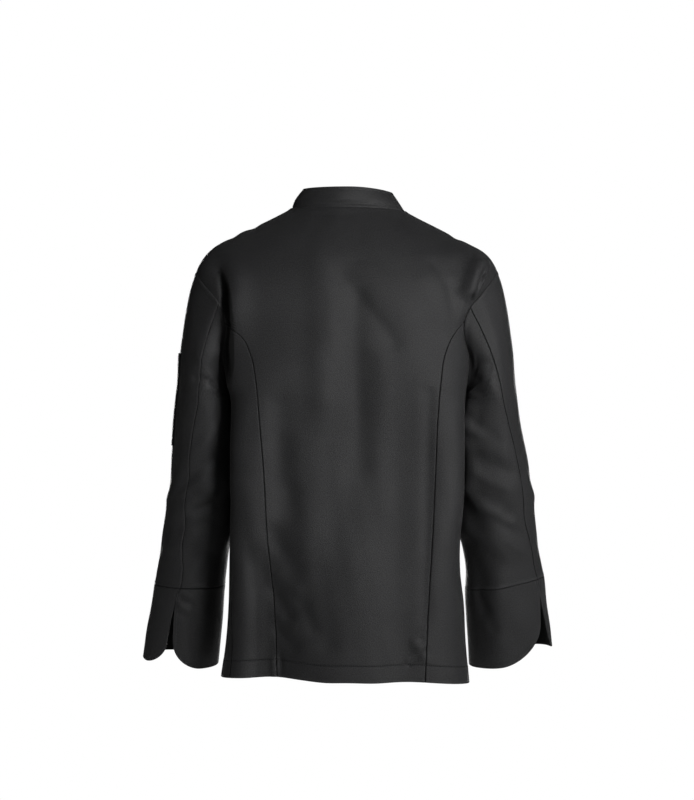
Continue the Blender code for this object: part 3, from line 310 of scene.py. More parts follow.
SLEEVE_FOLDS = {
    "left": (
        (96, 150, 70, 215, 12, 3.5), (110, 235, 70, 262, 9, -3.5), (115, 395, 62, 440, 13, -4.0),
        (130, 440, 70, 480, 12, 3.0), (120, 500, 60, 520, 14, -3.0), (250, 420, 320, 460, 13, -5.0),
        (235, 465, 330, 490, 12, 4.0), (240, 330, 290, 370, 13, -4.0),
    ),
    "right": (
        (105, 170, 80, 225, 10, -3.0), (120, 395, 70, 425, 14, -4.0), (125, 455, 75, 492, 14, -3.5),
        (110, 520, 60, 560, 14, 3.0), (250, 400, 325, 440, 13, -5.0), (235, 450, 320, 480, 12, 4.0),
        (245, 520, 300, 540, 14, -3.0), (136, 322, 134, 442, 17, 7.0),
    ),
}
SLEEVE_SMALL_FOLDS = {
    "left": (
        (104, 212, 96, 250, 7, 1.6), (138, 252, 120, 282, 6, -2.2), (96, 268, 84, 300, 8, 1.2),
        (118, 330, 84, 362, 9, -1.5), (112, 352, 74, 392, 8, 1.4), (104, 420, 58, 462, 6, 1.6),
        (112, 468, 66, 502, 6, -1.6), (92, 530, 50, 556, 9, 1.2), (108, 556, 72, 584, 8, -1.2),
        (34, 420, 6, 452, 10, -1.6), (40, 456, 10, 478, 9, 1.3), (-14, 300, -34, 372, 13, -1.4),
        (30, 520, 12, 566, 12, -1.2), (256, 432, 318, 472, 6, -1.6), (262, 476, 322, 512, 8, -1.4),
        (252, 352, 300, 392, 9, 1.4), (250, 270, 282, 318, 11, -1.5), (292, 540, 330, 586, 11, 1.2),
        (150, 420, 96, 452, 12, 3.0), (150, 462, 84, 486, 10, -3.2), (140, 380, 120, 470, 14, -3.4),
        (100, 372, 96, 430, 11, 1.2), (96, 470, 92, 560, 16, -2.6), (146, 510, 104, 540, 10, 2.2),
        (122, 556, 112, 600, 11, -2.4), (80, 624, 94, 628, 5, 1.6), (80, 634, 98, 640, 5, -1.8),
        (80, 646, 90, 650, 5, 1.5), (80, 657, 88, 661, 5, -1.2), (140, 440, 138, 540, 18, 5.0),
        (96, 660, 104, 720, 10, -1.2),
    ),
    "right": (
        (112, 190, 100, 232, 7, 1.6), (128, 246, 112, 286, 8, -1.6), (92, 262, 72, 312, 9, 1.2),
        (116, 330, 82, 372, 9, -1.4), (124, 418, 78, 452, 7, 1.6), (118, 478, 66, 512, 7, 1.5),
        (98, 496, 58, 534, 7, -1.5), (84, 550, 40, 588, 10, -1.2), (30, 408, 4, 446, 10, -1.6),
        (32, 452, 2, 474, 9, 1.3), (-12, 310, -30, 372, 13, -1.4), (24, 520, 6, 562, 12, -1.1),
        (258, 410, 322, 452, 6, -1.6), (262, 462, 318, 502, 8, -1.4), (254, 340, 298, 384, 9, 1.4),
        (250, 268, 284, 320, 11, -1.5), (288, 548, 326, 584, 11, 1.2), (150, 316, 118, 344, 7, -3.4),
        (150, 330, 112, 358, 7, 2.8), (146, 350, 124, 372, 7, -2.2), (150, 470, 116, 520, 14, -4.6),
        (146, 446, 96, 486, 12, 3.2), (118, 528, 84, 560, 12, 2.4), (150, 540, 126, 600, 16, -3.6),
        (66, 330, 60, 450, 16, 2.0), (132, 618, 126, 650, 10, -2.6), (120, 640, 112, 676, 8, -1.6),
        (84, 640, 70, 700, 12, 0.8), (104, 600, 108, 780, 22, 5.5), (140, 240, 140, 370, 16, 6.0),
    ),
}
ARM_RADIUS = 60.0  # turns a sleeve's fold from degrees into millimetres

COLLAR_NAMES = ("height",) + TORSO_NAMES[1:]
COLLAR = (
    (0.0, 91.0, 8, 95.0, 3, -2, 56, 6, -68, -66, 2.0, 2.0),
    (0.4, 86.0, 20, 87.0, 16, -2, 55, 19.5, -68, -55, 2.0, 2.0),
    (1.0, 72.0, 40, 75.0, 33.5, -3, 50, 40.5, -64, -37, 2.0, 2.0),
)
COLLAR_END = 178.6  # degrees from the centre back to each end of the collar
COLLAR_RADIUS = 75.0  # turns distances along the band into angles, and angles near its ends back
COLLAR_END_RADIUS = 70.0
COLLAR_CORNER = 9.0  # round corner at each end
COLLAR_TALL = 36.0
COLLAR_TUCK = 1.8  # the collar reaches this far under the neck edge of the body
# The dark trough above the neck seam at the back: depth, place up the band and half its height there, both as
# shares of the band, and half its width in radians
TROUGH = (-2.2, 0.2, 0.1, 0.75)
COLLAR_WAVE = 0.7

POCKET_TURNS = (-39.0, 21.0)
POCKET_LEVELS = (236.0, 386.0)
POCKET_WIDE = 62.0
POCKET_TALL = 150.0
POCKET_WALL = 1.3
POCKET_SEAT = 0.6  # between the pocket and the sleeve
POCKET_EASE = 1.6  # how far the pocket's mouth stands off the sleeve
POCKET_MOUTH = 40.0  # down to this distance from its top edge
POCKET_HEM = 12.0  # the row of stitches that holds the turned-in mouth

BUTTON_X = 64.0
BUTTON_TOP_Z = -92.0
BUTTON_PITCH = 96.0
BUTTON_ROWS = 5
BUTTON_QUIET = 24.0  # the cloth lies without folds within about this distance of a button
# Distance from the middle and height: the sunk middle, the rim, the round edge and the flat back
BUTTON_PROFILE = (
    (0.0, 2.0), (2.9, 2.0), (4.2, 2.05), (5.1, 2.45), (5.8, 3.0), (6.5, 3.4), (7.3, 3.58), (8.1, 3.5),
    (8.8, 3.1), (9.3, 2.4), (9.5, 1.7), (9.4, 1.0), (8.9, 0.45), (8.0, 0.1), (6.5, 0.0), (0.0, 0.0),
)
BUTTON_SUNK = 4.2  # radius of the sunk middle
BUTTON_SIDES = 72
BUTTON_HOLE = 0.95
BUTTON_HOLES_AT = 1.55  # of each hole's centre from both lines through the middle
BUTTON_HOLE_DEEP = 1.3
BUTTON_THREADS = (-0.38, 0.0, 0.38)  # threads beside each other in each arm of the cross
BUTTON_THREAD_RADIUS = 0.3
BUTTONHOLE = (-69.0, -42.0)  # from its end under the button to its end nearer the centre front
BUTTONHOLE_WIDE = 3.2
BUTTONHOLE_BAR = 0.56  # half the length of the bar at each end, as a share of the width
SATIN_PITCH = 0.62

# Distances from an edge at which a piece has a row or column of its mesh
SEAM_MARKS = (0.0, 0.3, 0.65, 1.1, 1.8, 3.0, 4.8, 7.0)
FREE_MARKS = (0.0, 0.1, 0.35, 0.7, 1.5, 3.0, 4.7, 5.2, 5.6, 6.0, 6.6, 8.6)
STITCH_MARK = 8  # the one of FREE_MARKS that the topstitching runs on
HEM_MARKS = (
    0.0, 0.1, 0.35, 0.7, 1.5, 3.2, 6.0, 9.5, 13.5, 17.5, 21.5, 24.6, 26.4, 27.2, 27.6, 28.0, 28.4, 28.8,
    29.8, 31.6, 34.6,
)
HEM_STITCH_MARK = 15
CAP_MARKS = (0.0, 0.6, 1.3, 2.2, 3.5, 5.2, 7.5, 10.5)  # below a sleeve's edge in the armhole
ROW_PITCH = 4.0  # between the other rows of skirt and sleeves
SKIRT_LONG = 468.0  # from the underarm to the hem, for the spacing of the rows


class Table:
    """Columns of numbers by name, each read as a smooth curve along the first column."""

    def __init__(self, names, rows):
        columns = np.array(rows, float).T
        self.keys = columns[0]
        self.values = dict(zip(names[1:], columns[1:]))
        self.slopes = {name: np.gradient(column, self.keys) for name, column in self.values.items()}

    def read(self, at, *names):
        at = np.asarray(at, float)
        i = np.clip(np.searchsorted(self.keys, at, side="right") - 1, 0, len(self.keys) - 2)
        span = self.keys[i + 1] - self.keys[i]
        t = (at - self.keys[i]) / span
        found = []
        for name in names or self.values:
            values, slopes = self.values[name], self.slopes[name]
            found.append(hermite(values[i], values[i + 1], slopes[i] * span, slopes[i + 1] * span, t))
        return found[0] if len(found) == 1 else found


def hermite(start, end, start_slope, end_slope, t):
    return (
        (2 * t**3 - 3 * t**2 + 1) * start
        + (t**3 - 2 * t**2 + t) * start_slope
        + (3 * t**2 - 2 * t**3) * end
        + (t**3 - t**2) * end_slope
    )


def ease(t):
    t = np.clip(t, 0.0, 1.0)
    return t * t * (3 - 2 * t)


def unit(vectors):
    return vectors / np.maximum(np.linalg.norm(vectors, axis=-1, keepdims=True), 1e-12)


def bell(away, width):
    """1 in the middle, fading smoothly to nothing about two widths away."""
    return np.exp(-((away / width) ** 2))


TORSO_TABLE = Table(TORSO_NAMES, TORSO)
COLLAR_TABLE = Table(COLLAR_NAMES, COLLAR)
HEM_TABLE = Table(HEM_NAMES, HEM)
ARMHOLE_TABLE = Table(ARMHOLE_NAMES, ARMHOLE)
CREASE_TABLE = Table(CREASE_NAMES, CREASE)
OVERHANG_TABLE = Table(OVERHANG_NAMES, OVERHANG)
SIDE_TABLE = Table(SIDE_NAMES, SIDE)
SEAM_TABLE = Table(SLEEVE_SEAM_NAMES, SLEEVE_SEAMS)
SLEEVE_TABLES = {"left": Table(SLEEVE_NAMES, SLEEVE_LEFT), "right": Table(SLEEVE_NAMES, SLEEVE_RIGHT)}
SIGN = {"left": 1.0, "right": -1.0}


def ring(table, angle, at):
    """Point on an uneven oval ring: its four half-widths and four heights come from the table."""
    left_x, left_z, right_x, right_z, mid_y, back_y, back_z, front_y, front_z, ahead, behind = table.read(at)
    across, along_y = np.sin(angle), np.cos(angle)
    half_x = np.where(across >= 0, left_x, right_x)
    half_y = np.where(along_y >= 0, back_y - mid_y, mid_y - front_y)
    power = np.where(along_y >= 0, behind, ahead)
    radius = (np.abs(across / half_x) ** power + np.abs(along_y / half_y) ** power) ** (-1 / power)
    x, y = radius * across, radius * along_y
    side_z = np.where(across >= 0, left_z, right_z)
    middle_z = np.where(along_y >= 0, back_z, front_z)
    z = middle_z + (side_z - middle_z) * np.clip(np.abs(x) / half_x, 0, 1) ** 2
    return np.stack([x, y + mid_y, z], axis=-1)


def angle_behind(side, level, reach):
    """Angle of the point on a body ring that lies `reach` behind the ring's widest line."""
    half_x, mid, back, front = TORSO_TABLE.read(level, side + "_x", "mid_y", "back_y", "front_y")
    half_y = np.where(reach >= 0, back - mid, mid - front)
    power = np.where(reach >= 0, *TORSO_TABLE.read(level, "back_power", "front_power"))
    x = half_x * (1 - np.minimum(np.abs(reach) / half_y, 1) ** power) ** (1 / power)
    return np.arctan2(SIGN[side] * x, reach)


def angle_across(side, level, x):
    """Angle of the point on the back of a body ring at a distance x from the centre."""
    half_x, mid, back, power = TORSO_TABLE.read(level, side + "_x", "mid_y", "back_y", "back_power")
    y = (back - mid) * (1 - (x / half_x) ** power) ** (1 / power)
    return np.arctan2(SIGN[side] * x, y)


def turn_at_level(level):
    """Turn round the back half of the armhole, in degrees, for a level between its ends."""
    share = np.clip((np.asarray(level, float) - ARM_TOP) / (ARM_BOTTOM - ARM_TOP), 0, 1)
    return np.degrees(np.arccos(1 - 2 * share))


def level_at_turn(turn):
    return ARM_TOP + (ARM_BOTTOM - ARM_TOP) * (1 - np.cos(np.radians(turn))) / 2


def armhole_place(side, turn):
    """(angle, level) on the body of a place on the armhole's edge."""
    turn = np.mod(turn, 360.0)
    level = level_at_turn(turn)
    return angle_behind(side, level, ARMHOLE_TABLE.read(turn)), level


def hem_level(angle):
    degrees = np.degrees(np.mod(angle + math.pi, 2 * math.pi) - math.pi)
    return HEM_TABLE.read(degrees)


# Folds

def fold_heights(folds, across, down):
    """Sum of the soft troughs and ridges at a place, each fading away from its own line."""
    total = np.zeros(np.broadcast(across, down).shape)
    for from_across, from_down, to_across, to_down, width, height in folds:
        line = np.array([to_across - from_across, to_down - from_down], float)
        away = ((across - from_across) * line[0] + (down - from_down) * line[1]) / (line @ line)
        nearest = np.clip(away, 0, 1)
        gap_across = across - from_across - nearest * line[0]
        gap_down = down - from_down - nearest * line[1]
        total += height * np.exp(-(gap_across**2 + gap_down**2) / width**2)
    return total


def crease_heights(creases, across, down):
    """Sum of the creases at a place: each has its own width on either side and fades in from its ends."""
    total = np.zeros(np.broadcast(across, down).shape)
    for corners, right_width, left_width, height in creases:
        corners = np.array(corners, float)
        lengths = np.linalg.norm(np.diff(corners, axis=0), axis=1)
        best = np.full(total.shape, 1e9)
        side, place = np.zeros(total.shape), np.zeros(total.shape)
        before = 0.0
        for start, end, length in zip(corners, corners[1:], lengths):
            line = (end - start) / length
            along = np.clip((across - start[0]) * line[0] + (down - start[1]) * line[1], 0, length)
            gap_across = across - start[0] - along * line[0]
            gap_down = down - start[1] - along * line[1]
            gap = np.hypot(gap_across, gap_down)
            nearer = gap < best
            best = np.where(nearer, gap, best)
            side = np.where(nearer, gap_across, side)
            place = np.where(nearer, before + along, place)
            before += length
        share = place / lengths.sum()
        width = left_width + (right_width - left_width) * ease(0.5 - side / CREASE_TURN)
        fade = ease(share / CREASE_FADE + CREASE_END) * ease((1 - share) / CREASE_FADE + CREASE_END)
        total += height * fade * bell(best, width)
    return total


def waves(across, down, sets):
    """Sum of slanting waves: (waves per turn, millimetres down for one wave, start, height)."""
    total = 0.0
    for per_turn, down_length, start, height in sets:
        total = total + height * np.sin(per_turn * across + 2 * math.pi * down / down_length + start)
    return total


# (waves round the body or arm, length down, start, height): whole numbers, so they meet where they close
BODY_WAVES = ((9, 410, 0.4, 0.3), (5, 620, 0.2, 0.35), (14, -330, 2.1, 0.16), (22, 210, 4.4, 0.07))
SLEEVE_WAVES = ((3, 120, 0.9, 0.3), (5, -96, 2.8, 0.22), (7, 74, 4.9, 0.14), (10, -58, 1.2, 0.07))
WAVES_LOST = 0.92  # share of the waves' height that goes where an arm and the body lie together
BODY_CALM = (90.0, 26.0)  # where that is on the body, and how wide, in degrees from the centre back
BODY_CALM_LEVEL = 210.0  # it comes in below this level
BODY_CALM_BLEND = 60.0
SLEEVE_CALM = (180.0, 42.0)  # the same on a sleeve
WAVES_IN = 30.0  # the waves come in over this distance from the neck seam or the armhole
SIDE_BLEND = 4.0  # how quickly the back's and the front's own folds come in from the sides


def button_places():
    return [
        (sign * BUTTON_X, BUTTON_TOP_Z - row * BUTTON_PITCH)
        for sign in (1, -1) for row in range(BUTTON_ROWS)
    ]


def body_base(angle, level):
    """Body surface without folds, and its outward normal."""
    point = ring(TORSO_TABLE, angle, level)
    step = STEP * MM
    slope_angle = ring(TORSO_TABLE, angle + step, level) - ring(TORSO_TABLE, angle - step, level)
    slope_level = ring(TORSO_TABLE, angle, level + STEP) - ring(TORSO_TABLE, angle, level - STEP)
    return point, unit(np.cross(slope_angle, slope_level))


def body_form(angle, level):
    """Body surface with its folds. Angle is in radians from the centre back towards the left."""
    angle, level = np.broadcast_arrays(np.asarray(angle, float), np.asarray(level, float))
    point, normal = body_base(angle, level)
    x, y, z = point[..., 0], point[..., 1], point[..., 2]
    behind = ease(np.cos(angle) * SIDE_BLEND)
    ahead = ease(-np.cos(angle) * SIDE_BLEND)
    height = fold_heights(BACK_FOLDS + BACK_SMALL_FOLDS, x, z) * behind
    height += crease_heights(BACK_CREASES, x, z) * behind
    quiet = np.ones(x.shape)
    for button_x, button_z in button_places():
        quiet *= 1 - np.exp(-((x - button_x) ** 2 + (z - button_z) ** 2) / BUTTON_QUIET**2) * ahead
    height += fold_heights(FRONT_FOLDS, x, z) * ahead * quiet
    on_shoulder = bell(y - SHOULDER_SEAM_Y, SHOULDER_DIP_LONG)
    on_shoulder = on_shoulder * (1 - ease((level - SHOULDER_DIP_LEVEL) / SHOULDER_DIP_FADE))
    for place, width, depth in SHOULDER_DIPS:
        height += depth * bell(x - place, width) * on_shoulder
    from_back = np.degrees(np.abs(np.mod(angle + math.pi, 2 * math.pi) - math.pi))
    beside_arm = bell(from_back - BODY_CALM[0], BODY_CALM[1])
    calm = 1 - WAVES_LOST * beside_arm * ease((level - BODY_CALM_LEVEL) / BODY_CALM_BLEND)
    calm = calm * ease((level - NECK_LEVEL) / WAVES_IN)
    height += waves(angle, level, BODY_WAVES) * calm * quiet
    point = point + normal * height[..., None]
    pull, dip = overhang(x, z, behind)
    dip += right_step(x, level, behind) * (np.sin(angle) < 0)
    return point - np.stack([pull, dip, 0 * dip], axis=-1)


def overhang(x, z, behind):
    """How far the cloth beside the left arm is pulled in under the fold, and how deep it lies."""
    down = -z
    top, bottom = OVERHANG[0][0], OVERHANG[-1][0]
    edge, depth, wide = OVERHANG_TABLE.read(np.clip(down, top, bottom))
    depth = depth * (down > top) * (down < bottom) * behind
    beyond = x - edge
    wall = ease((beyond + OVERHANG_START) / OVERHANG_WALL)
    hollow = bell(np.maximum(beyond - OVERHANG_FLOOR, 0), wide)
    pull = OVERHANG_PULL * depth / OVERHANG_DEEPEST * bell(beyond - OVERHANG_PULL_AT, OVERHANG_PULL_WIDE)
    return pull, depth * wall * hollow


def painted_fold_shade_and_highlight(points):
    """Painted shade and highlight on the back's folds: negative in the folded hollows, painted shade where no
    light gets in, and positive on the raised fold, a painted highlight where it faces the light."""
    x, y, z = points[..., 0], points[..., 1], points[..., 2]
    behind = ease((y - BACK_Y) / BACK_BLEND)
    shade = HOLLOW_PAINTED_SHADE * ease(overhang(x, z, behind)[1] / OVERHANG_DEEPEST * HOLLOW_FULL)
    valley, ridge = (crease_heights((crease,), x, z) for crease in (SHOULDER_VALLEY, SHOULDER_RIDGE))
    shade += (VALLEY_PAINTED_SHADE * valley + RIDGE_PAINTED_HIGHLIGHT * ridge) * behind
    return shade + CREASE_END_PAINTED_SHADE * fold_heights(CREASE_END_SHADOWS, x, z) * behind


def right_step(x, level, behind):
    """How deep the body lies beside the right arm's seam: a soft dip with a sharp step at the seam."""
    edge = angle_behind("right", level, ARMHOLE_TABLE.read(turn_at_level(level)))
    away = x - ring(TORSO_TABLE, edge, level)[..., 0]
    depth = CREASE_TABLE.read(np.clip(level, ARM_TOP, CREASE[-1][0]))
    soft = bell(away, CREASE_WIDTH)
    sharp = 1 - ease((away - STEP_START) / STEP_WALL)
    return depth * behind * (soft * (1 - STEP_SHARE) + sharp * STEP_SHARE)


def sleeve_ring(side, turn, level):
    """Point on an oval ring round the arm: turn 0 is outward, 90 backward, 180 against the body."""
    outer, inner, mid_y, deep, lean_out, lean_forward = SLEEVE_TABLES[side].read(level)
    beside = ring(TORSO_TABLE, angle_behind(side, level, mid_y - ARM_AHEAD), level)[..., 0]
    inner = np.maximum(inner, np.abs(beside) + SLEEVE_CLEARANCE)
    middle, half = (outer + inner) / 2, (outer - inner) / 2
    out, forward = np.radians(lean_out), np.radians(lean_forward)
    out_share, back_share = np.cos(np.radians(turn)), np.sin(np.radians(turn))
    full = SLEEVE_FULLNESS[side] * ease((level - FIRST_RING) / FULL_GROWS)
    full = full * (1 - ease((level - FULL_GOES_FROM) / FULL_GOES))
    shape = np.where((out_share < 0) & (back_share > 0), 2 / (2 + full), 1.0)
    across = half * np.sign(out_share) * np.abs(out_share) ** shape
    deep = deep * np.sign(back_share) * np.abs(back_share) ** shape
    x = middle + across * np.cos(out)
    y = mid_y + deep * np.cos(forward)
    z = -level + across * np.sin(out) - deep * np.sin(forward)
    return np.stack([SIGN[side] * x, y, z], axis=-1)


def sleeve_plain(side, turn, level):
    """Sleeve without folds: curves from the armhole to the first ring, then the rings."""
    turn, level = np.broadcast_arrays(np.asarray(turn, float), np.asarray(level, float))
    below = sleeve_ring(side, turn, np.maximum(level, FIRST_RING))
    if level.min() >= FIRST_RING:
        return below
    start = body_form(*armhole_place(side, turn))
    end = sleeve_ring(side, turn, np.full(turn.shape, FIRST_RING))
    chord = end - start
    length = np.linalg.norm(chord, axis=-1, keepdims=True)
    outward = np.array(CAP_DIRECTION) * (SIGN[side], 1, 1)
    leaving = unit(chord / length + CAP_SPREAD * outward) * length
    arriving = unit(sleeve_ring(side, turn, np.full(turn.shape, FIRST_RING + 1)) - end) * length
    t = np.clip((level - SLEEVE_START) / (FIRST_RING - SLEEVE_START), -0.01, 1)[..., None]
    cap = hermite(start, end, leaving, arriving, t)
    return np.where((level < FIRST_RING)[..., None], cap, below)


def sleeve_form(side, turn, level):
    """Sleeve with its folds."""
    turn, level = np.broadcast_arrays(np.asarray(turn, float), np.asarray(level, float))
    point = sleeve_plain(side, turn, level)
    slope_turn = sleeve_plain(side, turn + STEP, level) - sleeve_plain(side, turn - STEP, level)
    slope_level = sleeve_plain(side, turn, level + STEP) - sleeve_plain(side, turn, level - STEP)
    normal = unit(np.cross(slope_level, slope_turn)) * SIGN[side]
    round_arm = np.radians(np.mod(turn + 90, 360) - 90) * ARM_RADIUS
    scaled = [
        (math.radians(row[0]) * ARM_RADIUS, row[1], math.radians(row[2]) * ARM_RADIUS, *row[3:])
        for row in SLEEVE_FOLDS[side] + SLEEVE_SMALL_FOLDS[side]
    ]
    full_turn = 2 * math.pi * ARM_RADIUS
    height = fold_heights(scaled, round_arm, level) + fold_heights(scaled, round_arm + full_turn, level)
    calm = 1 - WAVES_LOST * bell(np.mod(turn, 360) - SLEEVE_CALM[0], SLEEVE_CALM[1])
    height += waves(np.radians(turn), level, SLEEVE_WAVES) * calm
    height *= ease((level - SLEEVE_START) / WAVES_IN)
    return point + normal * height[..., None]


def collar_form(angle, height):
    """Collar band: height 0 is the neck seam, 1 the top edge."""
    angle, height = np.broadcast_arrays(np.asarray(angle, float), np.asarray(height, float))
    point = ring(COLLAR_TABLE, angle, height)
    out = unit(np.stack([np.sin(angle), np.cos(angle), 0.15 + 0 * angle], axis=-1))
    depth, middle, tall, wide = TROUGH
    bow = depth * bell(height - middle, tall) * bell(angle, wide)
    bow += COLLAR_WAVE * np.sin(math.pi * height) * np.sin(5 * angle + 0.6)
    return point + out * bow[..., None]


# Grids: where the points of each piece lie on its surface

def graded(long, low_marks, high_marks, steps):
    """Distances along a length: the marks at both ends, and even steps between them."""
    low, high = np.array(low_marks), np.array(high_marks)
    even = np.linspace(low[-1], long - high[-1], steps)[1:-1]
    return np.concatenate([low, even, long - high[::-1]])


def spaced(lengths, low_marks, high_marks, count, crowd=0.0):
    """Distances of the columns along rows of these lengths: the marks at both ends, and steps between them
    that are even, or closer together towards the ends when crowd is near 1."""
    lengths = np.asarray(lengths, float)[:, None]
    low, high = np.array(low_marks), np.array(high_marks)
    shrink = np.minimum(1.0, lengths / (2.2 * (low[-1] + high[-1]) + 1e-9))
    start, end = low[-1] * shrink, lengths - high[-1] * shrink
    even = np.linspace(0, 1, count + 1)[None, 1:-1]
    middle = start + (end - start) * ((1 - crowd) * even + crowd * (0.5 - 0.5 * np.cos(math.pi * even)))
    return np.concatenate([low[None, :] * shrink, middle, lengths - high[None, ::-1] * shrink], axis=1)


def spread_columns(place, low, high, low_marks, high_marks, count, crowd=0.0):
    """Values from low to high, one row for each pair, at even distances on the surface place(values)."""
    coarse = np.linspace(0, 1, 65)
    values = low[:, None] + (high - low)[:, None] * coarse
    points = place(values)
    gaps = np.linalg.norm(np.diff(points, axis=1), axis=-1)
    run = np.concatenate([np.zeros((len(low), 1)), np.cumsum(gaps, axis=1)], axis=1)
    wanted = spaced(run[:, -1], low_marks, high_marks, count, crowd)
    share = np.array([np.interp(row, along, coarse) for row, along in zip(wanted, run)])
    return low[:, None] + (high - low)[:, None] * share


def body_rows(from_turn=None):
    """Rows of the body pieces as (kind, fixed level, share of the skirt, turn of the armhole)."""
    neck = NECK_LEVEL + np.concatenate([SEAM_MARKS, np.arange(10, 184, 3.6)])
    turns = np.arange(0.0, 178.0, 2.5)
    if from_turn is not None:
        turns = np.concatenate([[from_turn + 0.25], turns[turns > from_turn + 0.5]])
        neck = neck[:0]
    skirt = np.arange(0.0, SKIRT_LONG - HEM_MARKS[-1] - 2, ROW_PITCH)
    skirt = np.concatenate([skirt, SKIRT_LONG - np.array(HEM_MARKS[::-1])])
    fixed = np.concatenate([neck, level_at_turn(turns), np.full(len(skirt), ARM_BOTTOM)])
    share = np.concatenate([np.zeros(len(neck) + len(turns)), skirt / SKIRT_LONG])
    turn = np.concatenate([np.zeros(len(neck)), turns, np.full(len(skirt), 180.0)])
    kind = np.array(["shoulder"] * len(neck) + ["arm"] * len(turns) + ["skirt"] * len(skirt))
    return kind, fixed, share, turn


def row_levels(rows, angle):
    _, fixed, share, _ = rows
    shape = (-1,) + (1,) * (np.ndim(angle) - 1)
    return fixed.reshape(shape) + share.reshape(shape) * (hem_level(angle) - ARM_BOTTOM)


def princess_table(side):
    start_angle, start_level = armhole_place(side, PRINCESS_TURN)
    start_x = abs(float(ring(TORSO_TABLE, start_angle, start_level)[0]))
    first = ((float(start_level), start_x),)
    column = PRINCESS_NAMES.index(side + "_x")
    return Table(("level", "x"), first + tuple((row[0], row[column]) for row in PRINCESS))


PRINCESS_TABLES = {side: princess_table(side) for side in SIGN}


def princess_angles(side, rows):
    angle = np.full(len(rows[1]), SIGN[side] * 0.9)
    for _ in range(4):
        level = row_levels(rows, angle)
        level = np.maximum(level, PRINCESS_TABLES[side].keys[0])
        angle = angle_across(side, level, PRINCESS_TABLES[side].read(level, "x"))
    return angle


def outer_angles(side, rows, front):
    """Outer edge of a back or front piece: shoulder seam, armhole, then side seam."""
    kind, _, _, turn = rows
    edge = np.full(len(kind), SIGN[side] * math.pi / 2)
    for _ in range(3):
        level = row_levels(rows, edge)
        at_side = angle_behind(side, level, SIDE_TABLE.read(np.maximum(level, ARM_BOTTOM), side + "_reach"))
        edge = np.where(kind == "skirt", at_side, edge)
    arm = armhole_place(side, np.where(front, 360 - turn, turn))[0]
    return np.where(kind == "arm", arm, edge)


def front_edge_angles(side, rows):
    """Angle at which a front, having passed the centre, reaches its own overlap."""
    guess = np.full(len(rows[0]), SIGN[side] * math.pi * 1.15)
    for _ in range(4):
        level = row_levels(rows, guess)
        point = ring(TORSO_TABLE, guess, level)
        half_x, mid = TORSO_TABLE.read(level, "left_x", "mid_y")
        reach = np.minimum(OVERLAP, NECK_OVERLAP * half_x)
        guess = SIGN[side] * (math.pi + np.arctan2(reach, mid - point[:, 1]))
    return guess


def body_piece_grid(rows, low, high, low_marks, high_marks, count, crowd=0.0):
    def place(angles):
        return ring(TORSO_TABLE, angles, row_levels(rows, angles))
    angles = spread_columns(place, low, high, low_marks, high_marks, count, crowd)
    return angles, row_levels(rows, angles)


def front_form(side, angles, levels):
    """A front is the body's surface, moved out or in where the two fronts overlap."""
    points = body_form(angles, levels)
    plain, normal = body_base(angles, levels)
    past_centre = plain[..., 0] * SIGN[side]
    share = ease((OVERLAP + OVERLAP_BLEND - past_centre) / OVERLAP_BLEND)
    facing = ease((np.abs(angles) - math.pi * 0.6) / 0.3)
    rise = share * facing * (OVERLAP_RISE if side == "left" else -OVERLAP_RISE)
    return points + normal * rise[..., None]


# Edges: how a piece's surface moves near its seams and free edges

def runs(points):
    """Distance of every grid point from the first column, the last column, the first row and the last row."""
    across = np.linalg.norm(np.diff(points, axis=1), axis=-1)
    down = np.linalg.norm(np.diff(points, axis=0), axis=-1)
    across = np.concatenate([np.zeros((len(points), 1)), np.cumsum(across, axis=1)], axis=1)
    down = np.concatenate([np.zeros((1, points.shape[1])), np.cumsum(down, axis=0)], axis=0)
    return across, across[:, -1:] - across, down, down[-1:, :] - down


def grid_normals(points, outward):
    """Unit normals from the neighbours of each grid point, all on the side of `outward`."""
    along_row = np.gradient(points, axis=1)
    along_column = np.gradient(points, axis=0)
    normal = unit(np.cross(along_row, along_column))
    middle = tuple(size // 2 for size in points.shape[:2])
    if np.dot(normal[middle], outward) < 0:
        normal = -normal
    return normal


TURNING_EDGE = 1.4  # the turning beside a seam rises over this distance
TURNING_WIDE = 5.0  # and falls again from here
TURNING_FALL = 3.5
# Puckers beside a seam: how long the ripples are along it, where they start, and their share of the height
PUCKERS = ((2.9, 0.0, 1.0), (4.3, 1.1, 0.8), (1.9, 0.4, 0.5))
PUCKER_SLANT = 0.6
PUCKER_REACH = 9.0
PUCKER_START = 1.2


def seam_shape(away, along, rise=0.0, dip=SEAM_DIP, pull=0.08):
    """Offset at a distance from a seam: the groove, a raised turning beside it, and slanting puckers."""
    groove = -dip * bell(away, SEAM_REACH)
    turning = rise * ease(away / TURNING_EDGE) * (1 - ease((away - TURNING_WIDE) / TURNING_FALL))
    slanted = along + PUCKER_SLANT * away
    pucker = sum(share * np.sin(slanted / long + start) for long, start, share in PUCKERS)
    pucker = pull * pucker * np.exp(-away / PUCKER_REACH) * ease(away / PUCKER_START)
    return groove + turning + pucker


def painted_seam_shade(away):
    """Painted shade in a seam's groove: negative, darkening the colour where the groove lies in shadow."""
    return -1.1 * bell(away, 0.95)


def painted_seam_highlight(away, much=1.0):
    """Painted highlight on the rolled edge beside a seam, which stands up into the light."""
    return much * bell(away - 0.9, 1.0)


def painted_turning_highlight(away):
    """Painted highlight on the edge of the turning that shows through beside a seam."""
    return 0.25 * bell(away - 2.2, 1.2)


def edge_rub(away, much=0.5, reach=1.5):
    """Wear of a folded edge."""
    return much * np.exp(-away / reach)


def stitch_shape(away, along, at=TOPSTITCH_IN):
    """Offset of the groove that a row of topstitching pulls into the cloth."""
    pull = 1 + 0.3 * np.sin(along / 2.9) * np.sin(along / 11.0)
    return -TOPSTITCH_DIP * pull * bell(away - at, 0.75)


